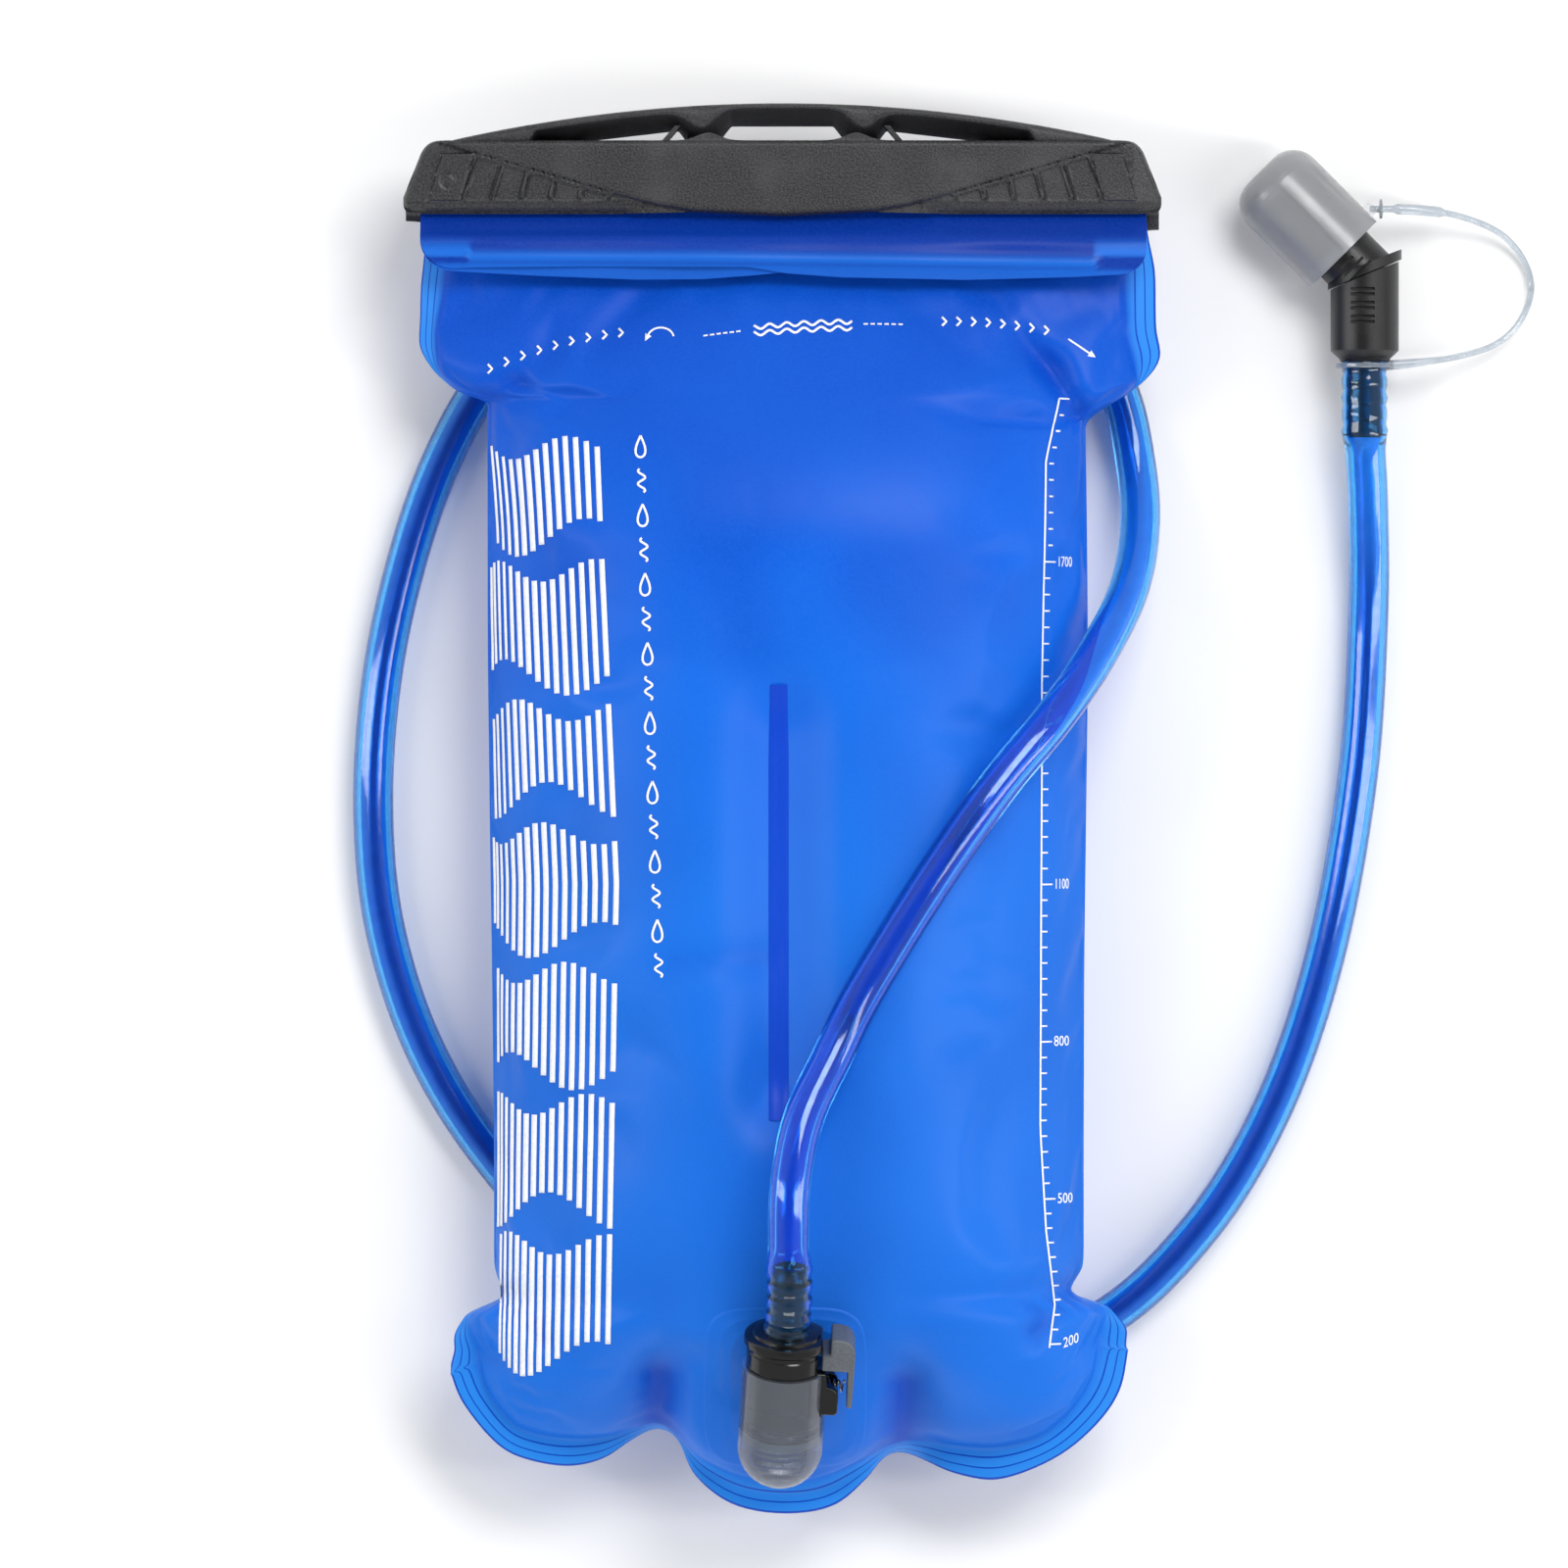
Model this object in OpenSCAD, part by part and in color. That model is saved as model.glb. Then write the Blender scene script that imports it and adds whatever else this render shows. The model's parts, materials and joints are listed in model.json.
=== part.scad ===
// Hydration bladder lying on its back, filled, with its drinking tube laid round it.
// Origin: on the resting surface, under the middle of the bladder's outline.
// +X is to the right, +Y towards the slider, +Z out of the front panel.

/* [Bag] */
// Width of the filled body at its middle
body_w = 143; // [130:1:155]
// How far the front panel bulges above the side seam
front_bulge = 34; // [24:1:40]
// Height of the side seam above the resting surface
seam_z = 27; // [24:1:32]
// Thickness of one film panel
film_t = 0.6; // [0.4:0.1:1]
// Lowest point of the bottom weld
bottom_y = -172.5; // [-180:0.5:-170]

/* [Slider] */
// Length of the slider bar
slider_w = 185.6; // [180:0.1:195]
// Top of the handle arch
handle_top_y = 172.5; // [170:0.5:176]
// Thickness of the slider from front to back
slider_t = 15; // [13:0.5:18]

/* [Port] */
// Outer diameter of the frosted port housing
housing_d = 20.8; // [19:0.1:23]
// Bore that takes the hose plug
plug_bore_d = 15.2; // [14.6:0.1:15.6]
// Lean of the port towards the front
port_tilt = 24; // [15:1:30]

/* [Tube and valve] */
// Outer diameter of the drinking tube
tube_d = 10; // [9:0.1:11]
// Diameter of the bite valve's body
valve_d = 16.8; // [16:0.1:18]
// Angle of the bite valve's elbow
elbow_angle = 45; // [30:1:60]
// Diameter of the dust cap
cap_d = 23; // [22:0.5:24]
// Length of the dust cap
cap_l = 29; // [27:0.5:31]

/* [Hidden] */
$fn = 48;
blue = "#1a5fe6";
black = "#1c1c1e";
frosted = "#c9d3de";

// ---- Bag shape -----------------------------------------------------------------
bag_x = 2;
neck_y = 147;
neck_half = 84;
body_half = body_w / 2;
corner_half = 79;
notch_y = -119;
weld_w = 8;
front_neck = 1.2;
// The back panel would hang this much deeper, and the resting surface flattens it
back_press = 1.1;
panel_cols = 28;
panel_rows = 34;

function lerp(a, b, t) = a + (b - a) * t;
function clamp01(t) = max(0, min(1, t));
function smooth(t) = let (c = clamp01(t)) c * c * (3 - 2 * c);

// Half width of the pillow at height y, without the weld round it
function pillow_half(y) =
    y > 97 ? lerp(body_half - 1, neck_half - 9, smooth((y - 97) / 20)) :
    y > notch_y ? body_half :
    lerp(body_half, corner_half - 3, smooth((notch_y - y) / 14));
function pillow_mid(y) = bag_x * (1 - smooth((y - 60) / 60));

// The three lobes of the bottom weld, u across from -1 to 1
function lobe(u) =
    abs(u) < 0.36 ? 13 * sqrt(1 - pow(u / 0.4, 2)) :
    6 * sqrt(max(0, 1 - pow((abs(u) - 0.67) / 0.36, 2)));
function weld_bottom(u) = bottom_y + 13 + weld_w - lobe(u) + 20 * pow(abs(u), 7);

// Height of the front panel above the seam, and depth of the back panel below it
function front_section(u) = pow(max(0, 1 - pow(abs(u), 2.4)), 0.5);
function back_section(u) = pow(max(0, 1 - pow(abs(u), 3.2)), 0.5);
function front_long(y, d) = lerp(front_neck, front_bulge, smooth((neck_y - 6 - y) / 78))
    * sqrt(1 - pow(1 - clamp01(d / 60), 2));
function back_long(y, d) = lerp(front_neck, seam_z, smooth((neck_y - y) / 102))
    * smooth(d / 104);
// The weld down the middle draws the front panel in
function baffle_dip(x, y) = 9 * exp(-pow((x - bag_x) / 9, 2))
    * smooth((y + 86) / 22) * smooth((40 - y) / 22);

function bag_u(x, y) = (x - pillow_mid(y)) / pillow_half(y);
function front_z(x, y) = let (u = bag_u(x, y), d = y - weld_bottom(u))
    seam_z + film_t + front_section(u) * front_long(y, d) - baffle_dip(x, y);
function back_z(x, y) = let (u = bag_u(x, y), d = y - weld_bottom(u))
    max(0, seam_z - film_t - back_section(u) * (back_press * back_long(y, d) - film_t));

// Grid over the panel: columns 1 to panel_cols + 1 and rows 0 to panel_rows cover the
// pillow, and one more column on each side and one more row at the bottom are the weld
function grid_u(i) = -cos(180 * clamp01((i - 1) / panel_cols));
function grid_xy(i, j) = let (u = grid_u(i), foot = weld_bottom(u),
    y = j > panel_rows ? foot - weld_w : lerp(neck_y, foot, j / panel_rows),
    side = i < 1 ? -1 : i > panel_cols + 1 ? 1 : 0)
    [pillow_mid(y) + (side == 0 ? u * pillow_half(y) : side * weld_edge_x(y)), y];
function in_pillow(i, j) = i >= 1 && i <= panel_cols + 1 && j <= panel_rows;
// The weld stands out only in the ears at the neck and round the bottom
function weld_edge_x(y) = pillow_half(y) + 0.6 + 8.4 * smooth((y - 94) / 6)
    + 5 * smooth((notch_y - y) / 10);

function flipped(faces) = [for (f = faces) [for (k = [len(f) - 1 : -1 : 0]) f[k]]];
// Faces of a closed solid whose top grid has (nc + 1) x (nr + 1) points and whose
// flat side has the same points again, after the top ones
function grid_faces(nc, nr) = let (w = nc + 1, n = w * (nr + 1)) concat(
    [for (j = [0 : nr - 1], i = [0 : nc - 1]) let (a = j * w + i) [a, a + 1, a + w + 1]],
    [for (j = [0 : nr - 1], i = [0 : nc - 1]) let (a = j * w + i) [a, a + w + 1, a + w]],
    [for (j = [0 : nr - 1], i = [0 : nc - 1]) let (a = n + j * w + i) [a, a + w + 1, a + 1]],
    [for (j = [0 : nr - 1], i = [0 : nc - 1]) let (a = n + j * w + i) [a, a + w, a + w + 1]],
    [for (i = [0 : nc - 1]) [i, n + i, n + i + 1, i + 1]],
    [for (i = [0 : nc - 1]) let (a = nr * w + i) [a + 1, n + a + 1, n + a, a]],
    [for (j = [0 : nr - 1]) let (a = j * w) [a + w, n + a + w, n + a, a]],
    [for (j = [0 : nr - 1]) let (a = j * w + nc) [a, n + a, n + a + w, a + w]]);

module panel(up) {
    top = [for (j = [0 : panel_rows + 1], i = [0 : panel_cols + 2]) let (p = grid_xy(i, j))
        [p[0], p[1], !in_pillow(i, j) ? seam_z + (up ? film_t : -film_t) :
            up ? front_z(p[0], p[1]) : back_z(p[0], p[1])]];
    flat = [for (p = top) [p[0], p[1], seam_z]];
    faces = grid_faces(panel_cols + 2, panel_rows + 1);
    polyhedron(concat(top, flat), up ? faces : flipped(faces));
}

// The port stands in its own frame: +Y along the plug's axis, +Z away from the bag
port_rim = [0.6, -134.5, 68.5];
port_yaw = 3;
foot_v = -19;
foot_r = 9.4;
module port_frame() translate(port_rim) rotate([port_tilt, 0, 0]) rotate([0, 0, -port_yaw])
    children();
module along_y() rotate([-90, 0, 0]) children();

// The room that the port's housing and its foot take in the film and the patch
module port_room() port_frame() {
    translate([0, foot_v, -24]) cylinder(h = 24, r = foot_r + 0.2);
    along_y() translate([0, 0, dome_v - 4]) cylinder(h = 38, r = housing_r + 0.3);
}

module front_panel() color(blue) difference() {
    panel(true);
    port_room();
    port_frame() translate([0, foot_v, -17.5]) cylinder(h = 2.7, r = 15.2);
    strip_solid(strip_half + 0.3, 0.1, 12);
}

module back_panel() color(blue) panel(false);

// ---- Mouth: both films run up through the slider, fold over and hang in front ----
fold_y = 154;
fold_z = 28.4;
lip_w = 176;
lip_bottom_y = 129.6;
// Centre line of the outer film of the fold, as [y, z], from the neck round to the lip
function fold_path(r, end_y, lift) = concat(
    [[neck_y + 0.1, seam_z - r + 1.4], [fold_y - 3, fold_z - r]],
    [for (a = [-90 : 15 : 90]) [fold_y + r * cos(a), fold_z + r * sin(a)]],
    [[fold_y - 6, fold_z + r], [145.2, fold_z + r + 0.2], [138.8, 34.6 + lift],
     [136, 35.4 + lift], [end_y, 35.8 + lift]]);
function normal2(p, i) = let (a = p[max(0, i - 1)], b = p[min(len(p) - 1, i + 1)], d = b - a)
    [-d[1], d[0]] / norm(d);
function ribbon(p, t) = concat([for (i = [0 : len(p) - 1]) p[i] + normal2(p, i) * t / 2],
    [for (i = [len(p) - 1 : -1 : 0]) p[i] - normal2(p, i) * t / 2]);
module across(w) translate([-w / 2, 0, 0]) rotate([90, 0, 90]) linear_extrude(w) children();

module inner_lip() color(blue) across(lip_w)
    polygon(ribbon(fold_path(0.9, lip_bottom_y - 1, 0), film_t));
module outer_lip() color(blue) across(lip_w)
    polygon(ribbon(fold_path(1.8, lip_bottom_y, 0.9), film_t));
// Flat strips that keep the two lips straight, one under the pair and one on top
stiffener = [154, 3, 0.6];
stiffener_y = 134.2;
module stiff_strip(z) color("#164fd0") translate([-stiffener[0] / 2, stiffener_y, z])
    cube(stiffener);
module inner_stiffener() stiff_strip(34.05);
module outer_stiffener() stiff_strip(36.75);

// Weld strip down the middle of the front panel, in its groove
strip_top_y = 28;
strip_end_y = -74;
strip_half = 2.6;
strip_rows = 24;
// A band along the groove, from low to high above the film
module strip_solid(half, low, high) {
    bed = [for (j = [0 : strip_rows], i = [-1 : 1])
        let (y = lerp(strip_top_y, strip_end_y, j / strip_rows), x = bag_x - 3 + half * i)
        [x, y, front_z(x, y)]];
    top = [for (p = bed) p + [0, 0, high]];
    under = [for (p = bed) p + [0, 0, low]];
    polyhedron(concat(top, under), grid_faces(2, strip_rows));
}
module baffle_strip() color("#1546bd") strip_solid(strip_half, 0.2, 0.55);

// ---- Port ------------------------------------------------------------------------
patch_w = 40;
patch_l = 40;
patch_y = -141.5;
// Rounded rectangle as a radial outline, s from 0 at the middle to 1 at the edge
function patch_xy(a, s) = let (c = cos(a), q = sin(a),
    k = pow(pow(abs(c), 5) + pow(abs(q), 5), -1 / 5))
    [port_rim[0] + s * k * c * patch_w / 2, patch_y + s * k * q * patch_l / 2];
// Rows of the patch from its rim inwards, each lifted off the film by its rise
function patch_sheet(rings, rise, spokes) = [for (j = [len(rings) - 1 : -1 : 0], i = [0 : spokes])
    let (p = patch_xy(360 * i / spokes, rings[j])) [p[0], p[1], front_z(p[0], p[1]) + rise[j]]];
module port_patch() color(blue) difference() {
    rings = [0.42, 0.56, 0.58, 0.72, 0.74, 0.88, 0.9, 1];
    rise = [1.9, 1.9, 1.5, 1.5, 1.1, 1.1, 0.7, 0.7];
    flat = [for (k = rings) 0.2];
    spokes = 48;
    ring_solid(patch_sheet(rings, rise, spokes), patch_sheet(rings, flat, spokes), spokes,
        len(rings) - 1);
    port_room();
}
// Closed ring built from two sheets of (nr + 1) rows whose first and last column coincide
module ring_solid(top, base, spokes, nr) {
    w = spokes + 1;
    n = len(top);
    faces = [for (j = [0 : nr - 1], i = [0 : spokes - 1])
        let (a = j * w + i, b = j * w + (i + 1) % spokes)
        each [[a, b, b + w], [a, b + w, a + w], [n + a, n + b + w, n + b],
            [n + a, n + a + w, n + b + w]]];
    outer = [for (i = [0 : spokes - 1]) let (b = (i + 1) % spokes) [i, n + i, n + b, b]];
    inner = [for (i = [0 : spokes - 1]) let (a = nr * w + i, b = nr * w + (i + 1) % spokes)
        [b, n + b, n + a, a]];
    polyhedron(concat(top, base), flipped(concat(faces, outer, inner)));
}

housing_r = housing_d / 2;
bore_r = plug_bore_d / 2;
dome_v = -22;
seat_top = -15;
seat_bottom = -16.4;
seat_r = 5.2;
function arc(cx, cy, r, a0, a1, n) = [for (i = [0 : n]) let (a = lerp(a0, a1, i / n))
    [cx + r * cos(a), cy + r * sin(a)]];
module port_housing() color(frosted) port_frame() difference() {
    union() {
        along_y() rotate_extrude() polygon(concat(
            arc(0, dome_v, housing_r, -90, 0, 12),
            [[housing_r, 0], [bore_r, 0], [bore_r, seat_top], [seat_r, seat_top],
             [seat_r, seat_bottom], [bore_r, seat_bottom]],
            arc(0, dome_v, bore_r, 0, -90, 10)));
        difference() {
            translate([0, foot_v, -15]) cylinder(h = 10, r = foot_r);
            translate([0, dome_v, 0]) sphere(r = housing_r - 0.5);
            along_y() translate([0, 0, dome_v]) cylinder(h = 24, r = housing_r - 0.5);
        }
    }
    translate([0, foot_v, -16]) cylinder(h = 12, r = 4);
    translate([4, -11, -5.5]) cube([8, 12, 11]);
}

module port_flange() color(blue) port_frame() translate([0, foot_v, -16.6]) difference() {
    cylinder(h = 1.6, r = 14.6);
    translate([0, 0, -1]) cylinder(h = 4, r = 4);
}

poppet_top = -17.9;
module poppet() color("#d8dde2") port_frame() along_y() difference() {
    union() {
        translate([0, 0, poppet_top - 2]) cylinder(h = 2, r = 6.6);
        translate([0, 0, poppet_top - 0.5]) cylinder(h = 3.8, r = 3.2);
    }
    translate([0, 0, poppet_top]) rotate_extrude() translate([5.4, 0]) circle(r = 0.6);
}
module poppet_seal() color("#2a2a2c") port_frame() along_y()
    translate([0, 0, poppet_top]) rotate_extrude() translate([5.4, 0]) circle(r = 0.6);

// Round wire wound into a coil from z = 0 to z = h
module coil(r, wire, turns, h) {
    steps = turns * 12;
    ring = [for (i = [0 : steps]) let (a = 360 * turns * i / steps, z = h * i / steps)
        for (k = [0 : 5]) let (b = 60 * k, s = r + wire * cos(b))
            [s * cos(a), s * sin(a), z + wire * sin(b)]];
    sides = [for (i = [0 : steps - 1], k = [0 : 5]) let (a = i * 6 + k, b = i * 6 + (k + 1) % 6)
        each [[a, b, b + 6], [a, b + 6, a + 6]]];
    polyhedron(ring, concat(sides, [[5, 4, 3, 2, 1, 0]], [[for (k = [0 : 5]) steps * 6 + k]]));
}
module poppet_spring() color("#c8ccd0") port_frame() along_y() translate([0, 0, -28.2])
    coil(2.6, 0.28, 5, 7.9);

// ---- Hose plug and its latch -------------------------------------------------------
nose_r = bore_r - 0.06;
collar_v = 5.5;
collar_top = 8.5;
barb_l = 18.5;
module barbed(r, step, count, from) for (k = [0 : count - 1])
    translate([0, 0, from + k * step]) cylinder(h = step * 0.8, r1 = r + 0.35, r2 = r - 0.15);
module hose_plug() color(black) port_frame() difference() {
    union() {
        along_y() {
            translate([0, 0, -14.4]) cylinder(h = 15, r = nose_r);
            translate([0, 0, 0.3]) cylinder(h = collar_v, r = 9.3);
            translate([0, 0, collar_v]) rotate_extrude()
                polygon([[0, 0], [9.6, 0], [10.3, 0.7], [10.3, 1.7], [9.2, 3], [0, 3]]);
            translate([0, 0, collar_top - 0.1]) cylinder(h = barb_l, r = 4.2);
            barbed(4.35, 4, 4, collar_top + 2);
        }
        translate([3, -10.6, -5]) cube([10, 10.6, 10]);
    }
    along_y() translate([0, 0, -15]) cylinder(h = 45, r = 2.6);
    along_y() translate([0, 0, -10]) rotate_extrude() translate([nose_r - 0.7, 0]) circle(r = 0.8);
    for (a = [0, 90]) rotate([0, a, 0]) translate([-1, -14.5, -8]) cube([2, 2, 16]);
    translate([5.6, 0.5, -5.3]) cube([5, 4.8, 10.6]);
    translate([9.2, -5, 0]) rotate([0, 90, 0]) cylinder(h = 4, r = 1.9);
}
module plug_o_ring() color("#2a2a2c") port_frame() along_y()
    translate([0, 0, -10]) rotate_extrude() translate([nose_r - 0.7, 0]) circle(r = 0.75);

button_x = 16.8;
module latch_button() color("#6b7078") port_frame() {
    difference() {
        translate([12.7, 0.6, -5]) cube([button_x - 12.7, 8.4, 10]);
        translate([12.7, 9, -6]) rotate([0, 0, -28]) cube([12, 6, 12]);
    }
    translate([7.9, 0.8, -5]) cube([5, 4.2, 10]);
    translate([button_x - 1.5, -9, -5]) cube([1.5, 9.8, 10]);
}
module latch_spring() color("#c8ccd0") port_frame() translate([9.5, -5, 0]) rotate([0, 90, 0])
    coil(1.4, 0.22, 4, 5.5);

// ---- Drinking tube -----------------------------------------------------------------
// The route starts on the plug's collar, lies down the front panel, drops over the
// right side, passes under the neck and the lower end, and ends at the bite valve.
tube_route = [[1, -126.8, 71.9], [1.7, -117, 76.3], [1.5, -104, 80], [2, -90, 80],
    [5, -75, 76.5], [12, -60, 70], [20, -44, 66.4], [36, -18, 64.4], [52, 5, 59.6],
    [66, 22, 52], [77, 38, 40], [85, 54, 26], [88, 70, 14], [87, 86, 7], [83, 103, 5],
    [73, 120, 5], [56, 132, 5], [26, 139, 5], [-12, 138, 5], [-50, 127, 5],
    [-71, 108, 5], [-84, 86, 5], [-93, 60, 5], [-99, 31, 5], [-101, 0, 5],
    [-98, -30, 5], [-88, -60, 5], [-71, -87, 5], [-46, -113, 5], [-8, -136, 5],
    [36, -141, 5], [76, -128, 5], [102, -105, 5], [121, -74, 5], [134, -36, 5],
    [142, 8, 5], [144.6, 48, 5.4], [144.4, 74, 9.2], [143.4, 93, 12], [143.4, 110, 12]];
tube_sides = 10;
function catmull(a, b, c, d, t) = 0.5 * (2 * b + (c - a) * t
    + (2 * a - 5 * b + 4 * c - d) * t * t + (3 * b - a - 3 * c + d) * t * t * t);
function route_point(p, s) = let (n = len(p) - 1, i = min(floor(s), n - 1), t = s - i)
    catmull(p[max(0, i - 1)], p[i], p[i + 1], p[min(n, i + 2)], t);
function unit(v) = v / norm(v);
// A tube of radius r swept along a route, with the given number of rings
module swept(route, rings, r, sides) {
    n = len(route) - 1;
    pts = [for (i = [0 : rings]) route_point(route, n * i / rings)];
    dirs = [for (i = [0 : rings]) unit(pts[min(rings, i + 1)] - pts[max(0, i - 1)])];
    ring = [for (i = [0 : rings])
        let (side = unit(cross(dirs[i], [0, 0, 1])), up = cross(side, dirs[i]))
        for (k = [0 : sides - 1]) let (a = 360 * (k + 0.5) / sides)
            pts[i] + r * (side * cos(a) + up * sin(a))];
    walls = [for (i = [0 : rings - 1], k = [0 : sides - 1])
        let (a = i * sides + k, b = i * sides + (k + 1) % sides)
        each [[a, b, b + sides], [a, b + sides, a + sides]]];
    ends = [[for (k = [sides - 1 : -1 : 0]) k], [for (k = [0 : sides - 1]) rings * sides + k]];
    polyhedron(ring, concat(walls, ends));
}
module drink_tube() color("#2b78e4") swept(tube_route, 76, tube_d / 2, tube_sides);

// ---- Slider --------------------------------------------------------------------------
slider_z = 28;
slider_y = 145;
arch_drop = 0.00138;
handle_y0 = 163.2;
function arch_y(x) = handle_top_y - arch_drop * x * x;
function mirrored(p) = [for (i = [len(p) - 1 : -1 : 0]) [-p[i][0], p[i][1]]];
module slider_front() {
    end = slider_w / 2;
    right = concat([for (i = [0 : 9]) [9 * i, arch_y(9 * i)]], [[end - 6, arch_y(end - 6)],
        [end - 3.6, slider_y + 15], [end, slider_y + 5], [end, slider_y + 1],
        [40, slider_y + 1], [30, slider_y]]);
    polygon(concat(right, mirrored(right)));
}
module slider_bar() color("#202022") difference() {
    translate([0, 0, slider_z - slider_t / 2]) linear_extrude(slider_t) slider_front();
    across(slider_w + 2) union() {
        translate([fold_y, fold_z]) circle(r = 3.9);
        translate([slider_y - 2, fold_z - 2.7]) square([fold_y - slider_y + 2, 5.4]);
        polygon([[slider_y - 1, fold_z - 4.5], [slider_y - 1, fold_z + 4.8],
            [slider_y + 3, fold_z + 2.7], [slider_y + 3, fold_z - 2.7]]);
        translate([handle_y0, slider_z + 5.5]) square([12, 4]);
        translate([handle_y0, slider_z - 9.5]) square([12, 4]);
    }
    translate([0, 0, slider_z - 10]) linear_extrude(20) {
        polygon([[-15.5, handle_y0 + 0.6], [-16.2, arch_y(16) - 2.4], [16.2, arch_y(16) - 2.4],
            [15.5, handle_y0 + 0.6]]);
        for (s = [-1, 1]) polygon([[s * 23.5, handle_y0 + 0.6], [s * 25, arch_y(25) - 1.9],
            [s * 42, arch_y(42) - 2], [s * 57, arch_y(57) - 2.6], [s * 60, handle_y0 + 0.6]]);
    }
    for (s = [-1, 1], k = [0 : 6])
        translate([s * (46.5 + k * 6.2), slider_y + 2.8, slider_z + slider_t / 2 - 0.6])
            rotate([0, 0, s * 6]) cube([1.2, 4 + 1.3 * k, 1]);
}

// ---- Bite valve: its own frame stands where the elbow's two axes meet -----------------
valve_at = [143.4, 131.3, 12];
valve_r = valve_d / 2;
elbow_r = 7.9;
rim_v = 7.3;
swivel = elbow_angle / 2;
module valve_frame() translate(valve_at) children();
module swivel_frame() valve_frame() rotate([0, 0, swivel]) children();
module cap_frame() valve_frame() rotate([0, 0, elbow_angle]) children();
module above_joint(gap) rotate([0, 0, swivel]) translate([-30, gap, -30]) cube([60, 60, 60]);

module valve_body() color(black) difference() {
    valve_frame() difference() {
        union() {
            along_y() rotate_extrude() polygon([[0, -21.3], [6, -21.3], [6.3, -20.6],
                [valve_r, -18.6], [valve_r, 12], [0, 12]]);
            along_y() translate([0, 0, -40]) cylinder(h = 19, r = 4.2);
            along_y() barbed(4.35, 4, 4, -39.5);
        }
        above_joint(-0.15);
        along_y() translate([0, 0, -41]) cylinder(h = 50, r = 2.6);
        rotate([0, 0, swivel]) along_y() translate([0, 0, -5]) cylinder(h = 12, r = 5.6);
        for (k = [0 : 2], j = [0, 1])
            translate([-4.5, -4 - 3.4 * k - 1.3 * j, valve_r - 0.9]) cube([6.6, 0.8, 2]);
    }
}

module valve_elbow() color(black) difference() {
    union() {
        valve_frame() difference() {
            union() {
                rotate([0, 0, elbow_angle]) along_y() translate([0, 0, -8])
                    cylinder(h = 8 + rim_v, r = elbow_r);
                intersection() {
                    along_y() translate([0, 0, -10]) cylinder(h = 20, r = valve_r + 0.7);
                    rotate([0, 0, swivel]) translate([-30, -3, -30]) cube([60, 5.4, 60]);
                }
            }
            rotate([0, 0, swivel]) translate([-40, -60, -40]) cube([80, 60.15, 80]);
        }
        swivel_frame() along_y() translate([0, 0, -4.6]) cylinder(h = 6, r = 5.5);
        cap_frame() along_y() translate([0, 0, rim_v - 0.1]) cylinder(h = 7, r = 5.4);
    }
    cap_frame() along_y() translate([0, 0, 0]) cylinder(h = 20, r = 2.6);
    swivel_frame() along_y() translate([0, 0, -5]) cylinder(h = 5, r = 2.6);
    valve_frame() sphere(r = 2.6);
    swivel_frame() along_y() translate([0, 0, -2.6]) rotate_extrude() translate([5.2, 0]) circle(r = 0.7);
    for (k = [0 : 2]) cap_frame() translate([-4, 1.2 + 1.9 * k, elbow_r - 0.7])
        cube([8 - 1.6 * k, 0.7, 2]);
}
module swivel_o_ring() color("#2a2a2c") swivel_frame() along_y()
    translate([0, 0, -2.6]) rotate_extrude() translate([5.02, 0]) circle(r = 0.5);

bite_l = 24;
module bite_piece() color("#8d949c") cap_frame() difference() {
    along_y() translate([0, 0, rim_v + 0.2]) rotate_extrude() polygon([[5.42, 0], [7.9, 0],
        [7.9, 3], [7, 4], [6.8, 9], [7.4, 10], [7.2, 18], [5.6, bite_l - 1.5], [4.6, bite_l],
        [0, bite_l], [0, bite_l - 2.2], [3.8, 18], [3.8, 8.5], [5.42, 7.2]]);
    translate([-3.4, rim_v + bite_l - 3, -0.15]) cube([6.8, 5, 0.3]);
}

cap_r = cap_d / 2;
module dust_cap() color(frosted) cap_frame() {
    along_y() translate([0, 0, rim_v]) rotate_extrude() polygon(concat(
        [[cap_r - 1.3, 0], [cap_r, 0]], arc(cap_r - 7, cap_l - 7, 7, 0, 90, 8),
        [[0, cap_l], [0, cap_l - 1.4]],
        arc(cap_r - 7, cap_l - 7, 5.6, 90, 0, 6)));
    for (k = [0 : 5]) rotate([0, 30 + 60 * k, 0]) translate([8.05, rim_v + 1, -0.5])
        cube([cap_r - 8.9, cap_l - 8, 1]);
    translate([cap_r - 0.5, rim_v + 1.6, -1.2]) cube([2.6, 3.4, 2.4]);
}

// ---- Tether from the tube's end to the dust cap ----------------------------------------
tether_route = [[149, 109.1, 12], [158, 110, 11], [167, 111.5, 8], [176, 114.5, 5],
    [182, 120, 3], [185, 128, 2], [183, 135.5, 2.5], [177, 142, 5], [167, 146, 8],
    [157, 147.4, 10.8], [147.3, 147.6, 12]];
tether_r = 0.8;
module cap_tether() color("#dfe6ec") {
    translate([valve_at[0], 108.4, valve_at[2]]) along_y() difference() {
        cylinder(h = 1.2, r = 7.2);
        translate([0, 0, -1]) cylinder(h = 4, r = tube_d / 2 + 0.1);
    }
    swept(tether_route, 40, tether_r, 8);
    translate([146.8, 147.6, 12]) rotate([0, 90, 0]) cylinder(h = 1, r = 2.4);
}

front_panel();
back_panel();
inner_lip();
outer_lip();
inner_stiffener();
outer_stiffener();
baffle_strip();
port_patch();
port_housing();
port_flange();
poppet();
poppet_seal();
poppet_spring();
hose_plug();
plug_o_ring();
latch_button();
latch_spring();
drink_tube();
slider_bar();
valve_body();
valve_elbow();
swivel_o_ring();
bite_piece();
dust_cap();
cap_tether();
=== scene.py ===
"""Looks of a filled hydration bladder lying on its back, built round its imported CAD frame.

Lengths inside the shape functions are millimetres, and every mesh is written in metres.
"""

import json
import math

import bpy
import numpy as np
from mathutils import Matrix, Vector
from mathutils.bvhtree import BVHTree


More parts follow.
